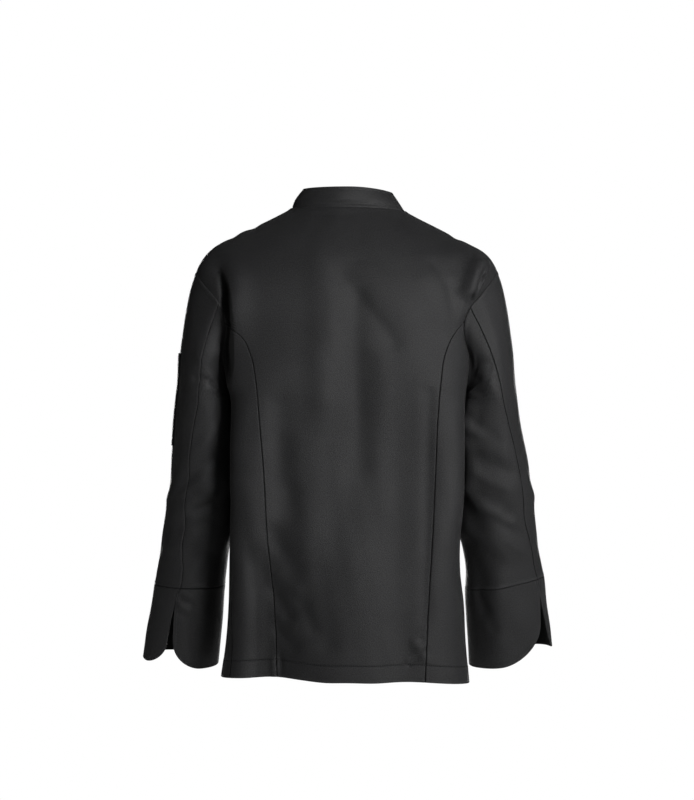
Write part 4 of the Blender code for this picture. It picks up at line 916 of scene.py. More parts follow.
def curl(away, wall):
    """How far both faces of a free edge turn towards the middle of the wall."""
    radius = wall / 2
    inside = np.clip(1 - away / radius, 0, 1)
    return radius * (1 - np.sqrt(1 - inside**2))


def shell(name, points, offset, curls, wall, outward, wear_and_light, twill):
    """A closed thin body: the grid moved by offset, and the same grid moved inward by the wall. The weave
    runs along the middle of the piece, or along the body's centre where the piece crosses it."""
    normals = grid_normals(points, outward)
    outer = points + normals * (offset - curls)[..., None]
    inner = points + normals * (np.minimum(offset, INSIDE_RISE) - wall + curls)[..., None]
    rows, columns = points.shape[:2]
    count = rows * columns
    index = np.arange(count).reshape(rows, columns)
    quads = np.stack([index[:-1, :-1], index[1:, :-1], index[1:, 1:], index[:-1, 1:]], axis=-1)
    quads = quads.reshape(-1, 4)
    rim = np.concatenate([index[0, :], index[1:, -1], index[-1, -2::-1], index[-2:0:-1, 0]])
    after = np.roll(rim, -1)
    bands = np.stack([rim, after, after + count, rim + count], axis=-1)
    middle_row, middle_column = rows // 2, columns // 2
    first = outer[middle_row, middle_column]
    down = outer[middle_row + 1, middle_column] - first
    right = outer[middle_row, middle_column + 1] - first
    faces = np.concatenate([quads, quads[:, ::-1] + count, bands])
    if np.dot(np.cross(down, right), normals[middle_row, middle_column]) < 0:
        faces = faces[:, ::-1]
    across = runs(points)[0]
    nearest = np.argmin(np.abs(points[..., 0]), axis=1)[:, None]
    from_left = np.sign(points[:, :1, 0] - points[:, -1:, 0])
    centre = np.take_along_axis(across + points[..., 0] * from_left, nearest, axis=1)
    start = np.where(points[:, :1, 0] * points[:, -1:, 0] < 0, centre, across[:, -1:] / 2)
    steps = np.diff(points[:, middle_column], axis=0)
    drop = np.concatenate([[0], np.cumsum(np.hypot(steps[:, 1], steps[:, 2]))])[:, None]
    flat = np.stack([across - start, 0 * across - drop], axis=-1).reshape(-1, 2) * MM
    mesh = grid_mesh(name, np.concatenate([outer.reshape(-1, 3), inner.reshape(-1, 3)]), faces)
    made = add_piece(mesh, twill)
    layer = mesh.uv_layers.new(name="UVMap")
    laid = np.concatenate([flat, flat])[faces.reshape(-1)]
    layer.data.foreach_set("uv", laid.astype(np.float32).reshape(-1))
    wear_and_light_data = mesh.attributes.new("wear_and_light", "FLOAT", "POINT")
    # the inner side gets painted shade
    inside = np.full(wear_and_light.size, INSIDE_PAINTED_SHADE)
    wear_and_light_data.data.foreach_set("value", np.concatenate([wear_and_light.reshape(-1), inside]).astype(np.float32))
    mesh.set_sharp_from_angle(angle=math.radians(SHARP_ANGLE))
    return made, outer, normals


def grid_mesh(name, points, faces):
    """Mesh of faces that all have the same number of corners."""
    mesh = bpy.data.meshes.new(name)
    corners = faces.shape[1]
    mesh.vertices.add(len(points))
    mesh.vertices.foreach_set("co", (np.asarray(points) * MM).astype(np.float32).reshape(-1))
    mesh.loops.add(faces.size)
    mesh.loops.foreach_set("vertex_index", faces.reshape(-1).astype(np.int32))
    mesh.polygons.add(len(faces))
    mesh.polygons.foreach_set("loop_start", np.arange(0, faces.size, corners, dtype=np.int32))
    mesh.update(calc_edges=True)
    return mesh


def add_piece(mesh, finish):
    """Puts a mesh into the scene as a piece of the jacket."""
    mesh.validate()
    mesh.shade_smooth()
    mesh.materials.append(finish)
    made = bpy.data.objects.new(mesh.name, mesh)
    bpy.context.scene.collection.objects.link(made)
    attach(made, "root")
    return made


# Thread

def even_places(line, up, pitch):
    """Points, directions and normals at even steps along a line of points."""
    gaps = np.linalg.norm(np.diff(line, axis=0), axis=1)
    run = np.concatenate([[0], np.cumsum(gaps)])
    count = max(2, int(run[-1] / pitch))
    at = (np.arange(count) + 0.5) * run[-1] / count

    def read(values, where):
        return np.stack([np.interp(where, run, values[:, k]) for k in range(3)], axis=-1)

    half = min(pitch, 2.0) / 2
    direction = unit(read(line, at + half) - read(line, at - half))
    return read(line, at), direction, unit(read(up, at))


def stitches(lines, length=STITCH_LENGTH, pitch=STITCH_PITCH, radius=THREAD_RADIUS):
    """Points and faces of short raised threads along each (line, normals) pair. Without a length, each line
    of two points is one thread."""
    sides, stations = 6, (-1.0, -0.82, -0.4, 0.0, 0.4, 0.82, 1.0)
    sizes = (0.35, 0.75, 1.0, 1.0, 1.0, 0.75, 0.35)
    lifts = (-0.9, -0.35, 0.25, 0.4, 0.25, -0.35, -0.9)
    round_at = np.arange(sides) * 2 * math.pi / sides
    all_points, all_faces, used = [], [], 0
    for line, up in lines:
        line, up = np.asarray(line), np.asarray(up)
        if length is None:
            along, normal = unit(line[1:] - line[:1]), up[:1]
            place, long = (line[:1] + line[1:]) / 2, np.linalg.norm(line[1] - line[0]) + radius
        else:
            (place, along, normal), long = even_places(line, up, pitch), length
        across = unit(np.cross(along, normal))
        rings = []
        for station, size, lift in zip(stations, sizes, lifts):
            middle = place + along * (station * long / 2) + normal * (lift * radius)
            turn_across = np.cos(round_at)[None, :, None] * across[:, None, :]
            turn_up = np.sin(round_at)[None, :, None] * normal[:, None, :]
            rings.append(middle[:, None, :] + (turn_across + turn_up) * radius * size)
        points = np.stack(rings, axis=1)
        count, ring_count = points.shape[:2]
        index = np.arange(count * ring_count * sides).reshape(count, ring_count, sides) + used
        after = np.roll(index, -1, axis=2)
        quads = np.stack([index[:, :-1], after[:, :-1], after[:, 1:], index[:, 1:]], axis=-1)
        ends = (index[:, 0, ::-1], index[:, -1])
        caps = [end[:, corners] for corners in ([0, 1, 2, 3], [0, 3, 4, 5]) for end in ends]
        all_points.append(points.reshape(-1, 3))
        all_faces.append(np.concatenate([quads.reshape(-1, 4), *caps]))
        used += points.size // 3
    return np.concatenate(all_points), np.concatenate(all_faces)


def sew(name, lines, thread, **sizes):
    return add_piece(grid_mesh(name, *stitches(lines, **sizes)), thread)


# Finishes

def linear(hex_colour):
    """Linear colour of an sRGB hex value."""
    parts = [int(hex_colour[k:k + 2], 16) / 255 for k in (1, 3, 5)]
    parts = [c / 12.92 if c <= 0.04045 else ((c + 0.055) / 1.055) ** 2.4 for c in parts]
    return (*parts, 1.0)


def add_node(tree, kind, settings=None, inputs=None):
    """Adds a node with its settings. An input is a value, or the output of another node."""
    made = tree.nodes.new(kind)
    for name, value in (settings or {}).items():
        setattr(made, name, value)
    for name, value in (inputs or {}).items():
        if isinstance(value, bpy.types.NodeSocket):
            tree.links.new(value, made.inputs[name])
        else:
            made.inputs[name].default_value = value
    return made


def new_material(name, coordinates="Object"):
    """A material without nodes, its tree, and the place on the surface that its textures go by."""
    made = bpy.data.materials.new(name)
    made.use_nodes = True
    made.node_tree.nodes.clear()
    return made, made.node_tree, add_node(made.node_tree, "ShaderNodeTexCoord").outputs[coordinates]


def noise(tree, place, size, inputs):
    """Noise with lumps of about this size in millimetres."""
    inputs = {"Vector": place, "Scale": 1 / (size * MM), **inputs}
    return add_node(tree, "ShaderNodeTexNoise", None, inputs).outputs["Fac"]


def ribbing(tree, place, pitch, direction, inputs):
    """Smooth ribs at this pitch in millimetres."""
    settings = {"wave_type": "BANDS", "bands_direction": direction, "wave_profile": "SIN"}
    inputs = {"Vector": place, "Scale": WAVE_PITCH / (pitch * MM), **inputs}
    return add_node(tree, "ShaderNodeTexWave", settings, inputs).outputs["Fac"]


def multiply_add(tree, value, factor, plus):
    inputs = {0: value, 1: factor, 2: plus}
    return add_node(tree, "ShaderNodeMath", {"operation": "MULTIPLY_ADD"}, inputs).outputs["Value"]


def relief(tree, height, strength, tall, inputs=None):
    """Normal of a surface with this relief, at most so many millimetres tall."""
    inputs = {"Height": height, "Strength": strength, "Distance": tall * MM, **(inputs or {})}
    return add_node(tree, "ShaderNodeBump", None, inputs).outputs["Normal"]


def between(tree, factor, first, second):
    """A colour between two others."""
    inputs = {"Factor": factor, 6: first, 7: second}
    return add_node(tree, "ShaderNodeMix", {"data_type": "RGBA"}, inputs).outputs[2]


def map_range(tree, value, inputs):
    return add_node(tree, "ShaderNodeMapRange", None, {"Value": value, **inputs}).outputs["Result"]


def surface(tree, inputs):
    """Ends a material in its surface."""
    shader = add_node(tree, "ShaderNodeBsdfPrincipled", None, inputs)
    add_node(tree, "ShaderNodeOutputMaterial", None, {"Surface": shader.outputs["BSDF"]})


WAVE_PITCH = 0.314  # pitch of a wave texture at scale 1
TWILL_PITCH = 0.9  # diagonal ribs: 0.6 mm on the real cloth, drawn a little coarser so that they show
TWILL_SLANT = 52.0  # degrees
THREAD_PITCH = 0.45
THREAD_TWIST = 0.4  # pitch of the sewing thread's twist
GRAIN = 1.9  # uneven yarns: 0.8 mm on the real cloth, drawn coarser so that they show from a few steps away
SLUB_LONG = 9.0
SLUB_THIN = 6.0  # how many times longer than wide the thick places of the yarn are
CLOUD = 140.0
# How much clouds, slubs, wear with its painted shade and highlights, ribs and grain lighten the cloth, and
# the shade that they start from
SHADE_START = -0.88
CLOUD_SHARE = 0.6
SLUB_SHARE = 0.16
WEAR_AND_LIGHT_SHARE = 0.35
RIB_SHARE = 0.18
GRAIN_SHARE = 2.0


def woven_twill():
    """Black polyester and cotton work twill: fine diagonal ribs, a dry surface with a faint soft sheen,
    slightly cloudy from washing and a shade lighter where edges rub. Its colour also carries painted shade in
    seam grooves, folds and on the inner side, and painted highlights on raised seam edges and folds."""
    finish, tree, flat = new_material("washed_black_twill", "UV")
    slanted = {"Vector": flat, "Rotation": (0, 0, math.radians(TWILL_SLANT))}
    turned = add_node(tree, "ShaderNodeMapping", None, slanted).outputs["Vector"]
    ribs = ribbing(tree, turned, TWILL_PITCH, "X", {"Distortion": 1.2, "Detail": 1.0, "Detail Scale": 2.0})
    threads = noise(tree, flat, THREAD_PITCH, {"Detail": 1.0, "Roughness": 0.5})
    thin = {"Vector": flat, "Scale": (SLUB_THIN, 1.0, 1.0)}
    drawn = add_node(tree, "ShaderNodeMapping", None, thin).outputs["Vector"]
    slubs = noise(tree, drawn, SLUB_LONG, {"Detail": 2.0, "Roughness": 0.6})
    clouds = noise(tree, flat, CLOUD, {"Detail": 4.0, "Roughness": 0.62})
    grain = noise(tree, flat, GRAIN, {"Detail": 2.0, "Roughness": 0.75})
    wear_and_light_data = add_node(tree, "ShaderNodeAttribute", {"attribute_name": "wear_and_light"}).outputs["Fac"]
    fine = relief(tree, multiply_add(tree, threads, 0.5, ribs), 0.35, 0.18)
    normal = relief(tree, grain, 1.0, 0.48, {"Normal": fine})
    shade = SHADE_START
    shares = (CLOUD_SHARE, SLUB_SHARE, WEAR_AND_LIGHT_SHARE, RIB_SHARE, GRAIN_SHARE)
    for value, share in zip((clouds, slubs, wear_and_light_data, ribs, grain), shares):
        shade = multiply_add(tree, value, share, shade)
    open_colour = between(tree, shade, linear("#131314"), linear("#343435"))
    # Painted shade: where wear_and_light is negative the colour goes towards near black and the surface to
    # fully rough
    painted_shade = add_node(
        tree, "ShaderNodeMath", {"operation": "MULTIPLY", "use_clamp": True}, {0: wear_and_light_data, 1: -1.0},
    ).outputs["Value"]
    open_dry = map_range(tree, slubs, {"To Min": 0.53, "To Max": 0.63})
    dry = add_node(tree, "ShaderNodeMix", {"data_type": "FLOAT"}, {0: painted_shade, 2: open_dry, 3: 1.0})
    surface(tree, {
        "Base Color": between(tree, painted_shade, open_colour, linear("#060606")), "Roughness": dry.outputs[0],
        "Normal": normal, "Specular IOR Level": 0.27, "IOR": 1.5,
        "Sheen Weight": 0.03, "Sheen Roughness": 0.5,
    })
    return finish


def spun_thread():
    """Black spun polyester sewing thread: twisted and a little glossier than the cloth."""
    finish, tree, place = new_material("spun_polyester_thread")
    twist = ribbing(tree, place, THREAD_TWIST, "DIAGONAL", {"Distortion": 0.5})
    surface(tree, {
        "Base Color": between(tree, twist, linear("#1e1e20"), linear("#39393c")), "Roughness": 0.52,
        "Normal": relief(tree, twist, 0.3, 0.1), "Specular IOR Level": 0.45, "IOR": 1.5,
    })
    return finish


def moulded_button():
    """Black polyester resin, moulded and tumble polished: smooth with faint swirls and fine scuffs."""
    finish, tree, place = new_material("polished_polyester_button")
    swirl = noise(tree, place, 5.0, {"Detail": 3.0, "Distortion": 1.5})
    scuffs = noise(tree, place, 0.6, {"Detail": 2.0, "Roughness": 0.7})
    polish = {"From Min": 0.3, "From Max": 0.7, "To Min": 0.24, "To Max": 0.42}
    surface(tree, {
        "Base Color": between(tree, swirl, linear("#161617"), linear("#262628")),
        "Roughness": map_range(tree, scuffs, polish), "Normal": relief(tree, scuffs, 0.08, 0.1), "IOR": 1.54,
    })
    return finish


def painted_floor():
    """Matt white studio floor paint with the faint unevenness of a roller."""
    finish, tree, place = new_material("matt_floor_paint")
    rolled = noise(tree, place, FLOOR_BLOTCH, {"Detail": 3.0})
    colour = between(tree, rolled, linear("#efefee"), linear("#f4f4f3"))
    surface(tree, {"Base Color": colour, "Roughness": 0.9})
    return finish


def hem_shape(away, along):
    """Offset of the turned-up hem: thicker below its stitching, which pulls a groove."""
    thick = HEM_THICK * (1 - ease((away - HEM_DEEP + 0.6) / 1.6))
    ripple = HEM_RIPPLE * np.sin(along / 5.1) * np.sin(along / 23.0 + 0.5)
    ripple = ripple * bell(away - HEM_DEEP, 9.0)
    return thick + ripple - HEM_GROOVE * bell(away - HEM_DEEP, 0.9)


def make_cloth(name, points, offset, curls, wall, outward, wear_and_light, finishes, stitched):
    """A piece of cloth and the thread along these rows or columns of its grid."""
    twill, thread = finishes
    made, outer, normals = shell("cloth_" + name, points, offset, curls, wall, outward, wear_and_light, twill)
    threads = sew("thread_" + name, [(outer[place], normals[place]) for place in stitched], thread)
    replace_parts(made, name)
    return made, threads, outer, normals


def make_body_piece(name, points, outward, finishes, rows, low="seam", high="seam"):
    """A body piece from its grid. Each side is a seam, an armhole in its upper rows, or a topstitched free
    edge. Along the left armhole the back's edge has a painted highlight in place of the seam's painted shade."""
    kind, _, _, turn = rows
    across, from_high, down, from_hem = runs(points)
    offset = hem_shape(from_hem, across)
    if kind[0] == "shoulder":
        offset += seam_shape(down, across, SHOULDER_TURNING, 0.0)
    curls = curl(from_hem, WALL)
    # the hem's folded edge is rubbed lighter; the groove of the hem's stitching gets painted shade
    wear_and_light = edge_rub(from_hem) - 0.6 * bell(from_hem - HEM_DEEP, 0.8)
    stitched = [np.s_[len(points) - 1 - HEM_STITCH_MARK]]
    on_left = points[:, 0, 0] + points[:, -1, 0] > RIGHT_FRONT
    for away, edge, column in ((across, low, STITCH_MARK), (from_high, high, -1 - STITCH_MARK)):
        if edge == "free":
            offset += stitch_shape(away, down)
            curls = np.maximum(curls, curl(away, WALL))
            wear_and_light += edge_rub(away)
            stitched.append(np.s_[3:-6, column])
            continue
        last_turn = {"seam": PRINCESS_TURN, "armhole": 180.0, "princess": -1.0}[edge]
        on_armhole = (kind == "arm") & (turn <= last_turn)
        pull = 0.05 + 0.13 * ease((down - 330) / 250)
        offset += seam_shape(away, down, 0.0, SEAM_DIP * (1 - on_armhole[:, None]), pull)
        highlighted_edge = (on_armhole * on_left * (column < 0))[:, None]
        # painted shade in each seam's groove and a painted highlight on the turning beside it; along the left
        # armhole the back's edge gets a painted highlight in place of most of that shade
        wear_and_light += painted_seam_shade(away) * (1 - 0.8 * highlighted_edge) + painted_turning_highlight(away)
        wear_and_light += painted_seam_highlight(away, 1.3 * highlighted_edge)
    wear_and_light += painted_fold_shade_and_highlight(points)
    return make_cloth(name, points, offset, curls, WALL, outward, wear_and_light, finishes, stitched)


def make_back(finishes):
    rows = body_rows()
    kind, _, _, turn = rows
    above = (kind == "shoulder") | ((kind == "arm") & (turn <= PRINCESS_TURN))
    edges = {
        side: np.where(above, outer_angles(side, rows, False), princess_angles(side, rows)) for side in SIGN
    }
    angles, levels = body_piece_grid(rows, edges["right"], edges["left"], SEAM_MARKS, SEAM_MARKS, 128, 0.75)
    centre = make_body_piece("back_centre", body_form(angles, levels), (0, 1, 0), finishes, rows)
    rows = body_rows(PRINCESS_TURN)
    for side in SIGN:
        inner, outer = princess_angles(side, rows), outer_angles(side, rows, False)
        tip = armhole_place(side, rows[3])[0]
        inner = np.where((rows[0] == "arm") & (np.abs(inner) > np.abs(tip)), tip, inner)
        low, high = (inner, outer) if side == "left" else (outer, inner)
        sides = ("princess", "armhole") if side == "left" else ("armhole", "princess")
        angles, levels = body_piece_grid(rows, low, high, SEAM_MARKS, SEAM_MARKS, 26)
        made = make_body_piece(
            "back_side_" + side, body_form(angles, levels), (0.5 * SIGN[side], 1, 0), finishes, rows, *sides,
        )


def make_fronts(finishes):
    rows = body_rows()
    for side in SIGN:
        outer, own = outer_angles(side, rows, True), front_edge_angles(side, rows)
        left = side == "left"
        low, high = (outer, own) if left else (own, outer)
        marks = (SEAM_MARKS, FREE_MARKS) if left else (FREE_MARKS, SEAM_MARKS)
        angles, levels = body_piece_grid(rows, low, high, *marks, 74)
        made = make_body_piece(
            "front_" + side, front_form(side, angles, levels), (0, -1, 0), finishes, rows,
            *(("armhole", "free") if left else ("free", "armhole")),
        )
        threads = [made[1]]
        if left:
            threads += make_buttonholes(made[2], made[3], finishes[1])


def on_grid(points, normals, x, z):
    """Point and normal of a front's surface at a place seen from the front."""
    near = np.argmin((points[..., 0] - x) ** 2 + (points[..., 2] - z) ** 2)
    place, normal = points.reshape(-1, 3)[near], normals.reshape(-1, 3)[near]
    down = -(normal[0] * (x - place[0]) + normal[2] * (z - place[2])) / normal[1]
    return np.array([x, place[1] + down, z]), normal


def make_buttonholes(points, normals, thread):
    """Worked buttonholes: close stitches across both lips of each slit, and a bar at either end."""
    lines = []
    start, end = BUTTONHOLE
    for row in range(BUTTON_ROWS):
        z = BUTTON_TOP_Z - row * BUTTON_PITCH
        for x in np.arange(start + 1, end - 0.8, SATIN_PITCH):
            place, up = on_grid(points, normals, x, z)
            for side in (-1, 1):
                ends = [place + (0, 0, side * reach) for reach in (0.15, BUTTONHOLE_WIDE / 2)]
                lines.append((ends, [up, up]))
        for x in (start, end):
            for shift in (0.0, SATIN_PITCH):
                place, up = on_grid(points, normals, x + shift * (1 if x == start else -1), z)
                ends = [place + (0, 0, side * BUTTONHOLE_WIDE * BUTTONHOLE_BAR) for side in (-1, 1)]
                lines.append((ends, [up, up]))
    return [sew("thread_buttonholes", lines, thread, length=None, radius=BUTTON_THREAD_RADIUS)]


def cuff_seam_level(side, turns):
    return CUFF_TOP[side] + CUFF_TILT[side] * np.cos(np.radians(turns))


def sleeve_levels(side):
    near = SLEEVE_START + np.array(CAP_MARKS)
    cap = np.arange(near[-1] + ROW_PITCH, FIRST_RING, ROW_PITCH)
    end = CUFF_TOP[side] - np.array(SEAM_MARKS[::-1])
    straight = np.arange(FIRST_RING, end[0] - 2, ROW_PITCH)
    return np.concatenate([near, cap, straight, end])


def make_sleeves(finishes):
    for side in SIGN:
        levels = sleeve_levels(side)
        back, front = SEAM_TABLE.read(levels, side + "_back", side + "_front")

        def place(turns, side=side, levels=levels):
            return sleeve_plain(side, turns, np.broadcast_to(levels[:, None], turns.shape))

        for piece, low, high, count in (("top", front - 360, back, 62), ("under", back, front, 30)):
            turns = spread_columns(place, low, high, SEAM_MARKS, SEAM_MARKS, count)
            near_cuff = ease((levels[:, None] - FIRST_RING) / (CUFF_TOP[side] - FIRST_RING))
            grid_levels = levels[:, None] + near_cuff * (cuff_seam_level(side, turns) - CUFF_TOP[side])
            points = sleeve_form(side, turns, grid_levels)
            across, from_high, down, from_end = runs(points)
            highlighted_edge = 1.0 if side == "left" and piece == "top" else 0.0
            offset = seam_shape(across, down)
            offset += seam_shape(from_high, down, 0.0, SEAM_DIP * (1 - 0.7 * highlighted_edge))
            offset += seam_shape(down, across, CAP_TURNING, 0.0)
            offset += CUFF_TURNING * (1 - ease((from_end - 4.5) / 2.0)) * ease(from_end / 0.8)
            offset -= CUFF_GROOVE * bell(from_end, 0.8)
            if piece == "top":
                offset += 0.7 * stitch_shape(from_high, down) * ease((grid_levels - 180) / 60)
            # a lighter line just below the armhole seam; painted highlights on the turning, the cuff-seam
            # ridge and the left armhole's edge; painted shade in the seam grooves, at the cuff seam and along
            # the right armhole; and the back's painted fold shade
            wear_and_light = 0.35 * bell(down - 2.2, 1.8) + painted_turning_highlight(from_high)
            wear_and_light += painted_seam_shade(across) + painted_seam_shade(from_high) * (1 - 0.7 * highlighted_edge)
            wear_and_light += painted_seam_shade(from_end) * CUFF_SEAM_PAINTED_SHADE[side]
            wear_and_light += painted_seam_highlight((from_end - 1.0) / 2, CUFF_SEAM_HIGHLIGHT[side])
            wear_and_light += painted_seam_highlight(from_high, 1.2 * highlighted_edge) + 0.5 * painted_seam_shade(down) * (side == "right")
            outside = ease((turns + 10) / 30) * ease((100 - turns) / 20)
            wear_and_light += painted_seam_highlight(down, 0.9 * (side == "left")) * outside
            wear_and_light += painted_fold_shade_and_highlight(points)
            outward = (SIGN[side] * (1.0 if piece == "top" else -1.0), 0, 0)
            made, threads, _, _ = make_cloth(
                f"sleeve_{side}_{piece}", points, offset, 0 * offset, WALL, outward, wear_and_light, finishes,
                [np.s_[len(levels) - 1 - SLEEVE_STITCH_MARK]],
            )


def make_cuffs(finishes):
    for side in SIGN:
        top, end = CUFF_TOP[side], CUFF_END[side]
        length_round = 2 * math.pi * ARM_RADIUS
        columns = graded(length_round, FREE_MARKS, FREE_MARKS, 150)
        shares = columns / length_round
        split = SEAM_TABLE.read(top + 30, side + "_back")
        last = end
        from_slits = (columns, length_round - columns)
        for from_slit, long, rise in zip(from_slits, CORNER_ROUND[side], CORNER_RISE[side]):
            inside = np.clip(1 - from_slit / long, 0, 1)
            last = last - rise * (1 - np.sqrt(1 - inside**2))
        tall = end - top
        down = graded(tall, SEAM_MARKS, FREE_MARKS, 46)[:, None] / tall
        top_here = cuff_seam_level(side, split + 360 * shares)[None, :]
        levels = top_here + (last[None, :] - top_here) * down
        open_share = np.clip((levels - top - CUFF_CLOSED) / (tall - CUFF_CLOSED), 0, 1)
        half_gap = SLIT_WIDTH[side] * open_share**SLIT_SWELL / 2
        seam_turn = SEAM_TABLE.read(levels, side + "_back") * (1 - down) + (split - SLIT_SHIFT[side]) * down
        half_turn = np.degrees(half_gap / ARM_RADIUS)
        turns = seam_turn + half_turn + (360 - 2 * half_turn) * shares[None, :]
        points = sleeve_form(side, turns, levels)
        across, from_high, run, from_end = runs(points)
        open_here = ease((levels - top - CUFF_CLOSED + 6) / 8)
        offset = CUFF_RISE + seam_shape(run, across, 0.1) + stitch_shape(from_end, across)
        middle_turn = math.radians(split + 180)
        outward = (SIGN[side] * math.cos(middle_turn), math.sin(middle_turn), 0)
        curls = curl(from_end, BAND_WALL)
        # the folded edges are rubbed lighter; the cuff seam's groove gets painted shade
        wear_and_light = edge_rub(from_end, *CUFF_RUB) + painted_seam_shade(run) * CUFF_SEAM_PAINTED_SHADE[side]
        for away in (across, from_high):
            offset += stitch_shape(away, run) + seam_shape(away, run) * (1 - open_here)
            curls = np.maximum(curls, curl(away, BAND_WALL) * open_here)
            wear_and_light += edge_rub(away, *CUFF_RUB) * open_here
        low = len(points) - 1 - STITCH_MARK
        made, threads, _, _ = make_cloth(
            "cuff_" + side, points, offset, curls, BAND_WALL, outward, wear_and_light, finishes, band_stitches(5, low),
        )


def band_stitches(first, row):
    """Stitch lines of a band: down one end from its first row, along a row, and down the other end."""
    return [
        np.s_[first:row + 1, STITCH_MARK],
        np.s_[row, STITCH_MARK:-STITCH_MARK],
        np.s_[first:row + 1, -1 - STITCH_MARK],
    ]


def make_collar(finishes):
    span = math.radians(COLLAR_END)
    marks = np.array(FREE_MARKS) / COLLAR_RADIUS
    angles = graded(2 * span, marks, marks, 168) - span
    reach = np.minimum(np.abs(angles[0] - angles), np.abs(angles[-1] - angles)) * COLLAR_END_RADIUS
    corner = np.clip(1 - reach / COLLAR_CORNER, 0, 1)
    top = 1 - COLLAR_CORNER / COLLAR_TALL * (1 - np.sqrt(1 - corner**2))
    rise = np.concatenate([[-COLLAR_TUCK], graded(COLLAR_TALL, SEAM_MARKS, FREE_MARKS, 9)]) / COLLAR_TALL
    heights = top[None, :] * rise[:, None]
    points = collar_form(np.broadcast_to(angles, heights.shape), heights)
    across, from_high, run, from_top = runs(points)
    edge = np.minimum(from_top, np.minimum(across, from_high))
    offset = stitch_shape(from_top, across) - 0.7 * (1 - ease(run / (COLLAR_TUCK + 1.5)))
    offset += stitch_shape(across, run) + stitch_shape(from_high, run)
    made, threads, _, _ = make_cloth(
        "collar", points, offset, curl(edge, BAND_WALL), BAND_WALL, (0, 1, 0), edge_rub(edge, *COLLAR_RUB),
        finishes, band_stitches(3, len(rise) - 1 - STITCH_MARK),
    )


def button_frame(node):
    """Seat, axis and the two directions across a button, from the plain one that it takes the place of."""
    corners = np.empty(len(node.data.vertices) * 3)
    node.data.vertices.foreach_get("co", corners)
    corners = corners.reshape(-1, 3) / MM
    middle = (corners.min(axis=0) + corners.max(axis=0)) / 2
    axis = np.linalg.svd(corners - corners.mean(axis=0), full_matrices=False)[2][2]
    axis = axis * -np.sign(axis[1])
    seat = middle + axis * ((corners - middle) @ axis).min()
    right = unit(np.cross((0.0, 0.0, 1.0), axis))
    return seat, axis, right, np.cross(axis, right)


def make_buttons(plastic, thread):
    """Buttons turned on their profile, each with four holes and a cross of threads through them."""
    profile = np.array(BUTTON_PROFILE)
    top = profile[0, 1]
    run = np.concatenate([[0], np.cumsum(np.hypot(*np.diff(profile, axis=0).T))])
    within = np.arange(0.3, BUTTON_SUNK, 0.27)
    fine = np.unique(np.concatenate([within, np.linspace(BUTTON_SUNK, run[-1] - 0.3, 44)]))
    radius, height = (np.interp(fine, run, profile[:, k]) for k in (0, 1))
    turns = np.arange(BUTTON_SIDES) * 2 * math.pi / BUTTON_SIDES
    flat_x, flat_y = radius[:, None] * np.cos(turns), radius[:, None] * np.sin(turns)
    gap = np.hypot(np.abs(flat_x) - BUTTON_HOLES_AT, np.abs(flat_y) - BUTTON_HOLES_AT)
    sunk = BUTTON_HOLE_DEEP * (1 - ease((gap - BUTTON_HOLE + 0.2) / 0.4)) * (fine < BUTTON_SUNK)[:, None]
    level = height[:, None] - sunk
    index = np.arange(level.size).reshape(level.shape)
    after = np.roll(index, -1, axis=1)
    quads = np.stack([index[:-1], index[1:], after[1:], after[:-1]], axis=-1).reshape(-1, 4)
    faces = [*quads]
    faces += [(level.size, index[0, k], after[0, k]) for k in range(BUTTON_SIDES)]
    faces += [(level.size + 1, after[-1, k], index[-1, k]) for k in range(BUTTON_SIDES)]
    faces = [tuple(map(int, face)) for face in faces]
    a = BUTTON_HOLES_AT
    for name, node in list(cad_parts.items()):
        if not name.startswith("button_"):
            continue
        seat, axis, right, up = button_frame(node)
        points = seat + flat_x[..., None] * right + flat_y[..., None] * up + level[..., None] * axis
        points = np.concatenate([points.reshape(-1, 3), [seat + axis * top, seat]])
        mesh = bpy.data.meshes.new("resin_" + name)
        mesh.from_pydata([tuple(p) for p in points * MM], [], faces)
        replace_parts(add_piece(mesh, plastic), name)
        lines = []
        for low, high in (((-a, -a), (a, a)), ((-a, a), (a, -a))):
            for shift in BUTTON_THREADS:
                beside = right * shift + up * shift * np.sign(low[1]) + axis * (top + 0.12)
                ends = [seat + right * x + up * y + beside for x, y in (low, high)]
                lines.append((ends, [axis, axis]))
        sew("thread_" + name, lines, thread, length=None, radius=BUTTON_THREAD_RADIUS)


def make_pocket(finishes):
    columns = graded(POCKET_WIDE, FREE_MARKS, FREE_MARKS, 18)[None, :] / POCKET_WIDE
    rows = graded(POCKET_TALL, FREE_MARKS, FREE_MARKS, 40)[:, None] / POCKET_TALL
    turns = POCKET_TURNS[0] + (POCKET_TURNS[1] - POCKET_TURNS[0]) * columns + 0 * rows
    levels = POCKET_LEVELS[0] + (POCKET_LEVELS[1] - POCKET_LEVELS[0]) * rows + 0 * columns
    points = sleeve_form("left", turns, levels)
    across, from_high, run, from_end = runs(points)
    mouth = 1 - ease((levels - POCKET_LEVELS[0]) / POCKET_MOUTH)
    lift = POCKET_SEAT + POCKET_WALL + POCKET_EASE * mouth * np.sin(math.pi * columns)
    edge = np.minimum(np.minimum(across, from_high), from_end)
    offset = stitch_shape(run, across, POCKET_HEM) - 0.25 * bell(edge - 1.6, 0.7)
    around = np.minimum(edge, run)
    outward = (1, 0, 0)
    made, threads, _, _ = make_cloth(
        "sleeve_pocket", points + grid_normals(points, outward) * lift[..., None], offset,
        curl(around, POCKET_WALL), POCKET_WALL, outward, edge_rub(around), finishes,
        [np.s_[:, 4], np.s_[:, -5], np.s_[-5], np.s_[14]],
    )


def main():
    finishes = (woven_twill(), spun_thread())
    make_back(finishes)
    make_fronts(finishes)
    make_sleeves(finishes)
    make_cuffs(finishes)
    make_collar(finishes)
    make_pocket(finishes)
    make_buttons(moulded_button(), finishes[1])


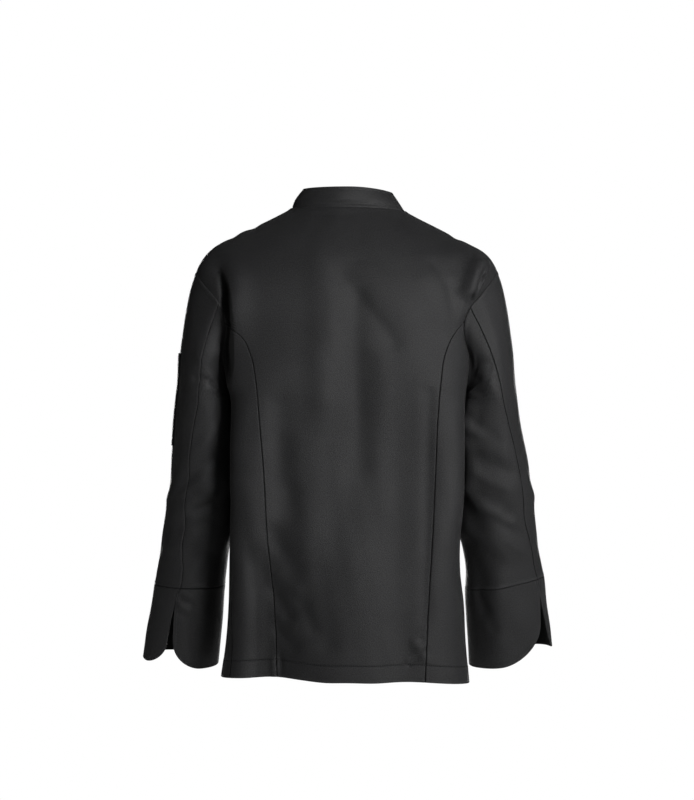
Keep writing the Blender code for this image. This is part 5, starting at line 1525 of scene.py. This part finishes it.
# Studio. Lights: name, place, aim, width and height in metres, watts, and the spread in degrees
MIDDLE = (0.0, 0.0, -0.36)
LIGHTS = (
    ("key", (-2.2, 3.75, 0.5), (-0.02, 0.0, -0.12), (1.7, 1.6), 8.0, 30),
    ("fill", (-0.7, 4.3, 1.6), MIDDLE, (1.6, 1.6), 8, 180),
    ("rim", (-3.4, 1.0, 0.1), MIDDLE, (1.0, 1.6), 17, 180),
    ("front_key", (0.9, -4.1, -0.1), MIDDLE, (0.9, 1.3), 120, 180),
    ("front_fill", (-1.0, -4.0, -0.3), MIDDLE, (0.9, 1.3), 60, 180),
)
SKY_LIGHT = 0.05  # strength of the white surroundings as light, and as seen by the camera
SKY_SEEN = 1.0
FLOOR_RADIUS = 3300.0
FLOOR_Z = -1520.0
FLOOR_SIDES = 96
FLOOR_BLOTCH = 1000 / 1.4
EYE = (0.0, 4.5, -0.3086)
LENS = 122.7
SENSOR = 36.0


def area_light(name, place, aim, size, power, spread):
    made = bpy.data.lights.new(name, "AREA")
    made.shape = "RECTANGLE"
    made.size, made.size_y = size
    made.energy = power
    made.spread = math.radians(spread)
    lamp = bpy.data.objects.new(name, made)
    lamp.location = place
    lamp.rotation_euler = (Vector(aim) - Vector(place)).to_track_quat("-Z", "Y").to_euler()
    bpy.context.scene.collection.objects.link(lamp)


def studio():
    for light in LIGHTS:
        area_light(*light)
    scene = bpy.context.scene
    world = bpy.data.worlds.new("white_studio")
    world.use_nodes = True
    scene.world = world
    tree = world.node_tree
    tree.nodes.clear()
    seen = add_node(tree, "ShaderNodeLightPath").outputs["Is Camera Ray"]
    strength = map_range(tree, seen, {"To Min": SKY_LIGHT, "To Max": SKY_SEEN})
    sky = add_node(tree, "ShaderNodeBackground", None, {"Color": (1, 1, 1, 1), "Strength": strength})
    add_node(tree, "ShaderNodeOutputWorld", None, {"Surface": sky.outputs["Background"]})
    around = np.linspace(0, 2 * math.pi, FLOOR_SIDES + 1)[:-1]
    corners = [(FLOOR_RADIUS * math.cos(a), FLOOR_RADIUS * math.sin(a), FLOOR_Z) for a in around]
    mesh = bpy.data.meshes.new("studio_floor")
    mesh.from_pydata([tuple(c * MM) for c in np.array(corners)], [], [tuple(range(FLOOR_SIDES))])
    mesh.materials.append(painted_floor())
    floor = bpy.data.objects.new("studio_floor", mesh)
    scene.collection.objects.link(floor)
    camera = bpy.data.cameras.new("camera")
    camera.lens = LENS
    camera.sensor_width = SENSOR
    camera.clip_end = 50.0
    eye = bpy.data.objects.new("camera", camera)
    eye.location = EYE
    eye.rotation_euler = (math.radians(90), 0.0, math.radians(180))
    scene.collection.objects.link(eye)
    scene.camera = eye
    scene.view_settings.view_transform = "Standard"


main()
studio()
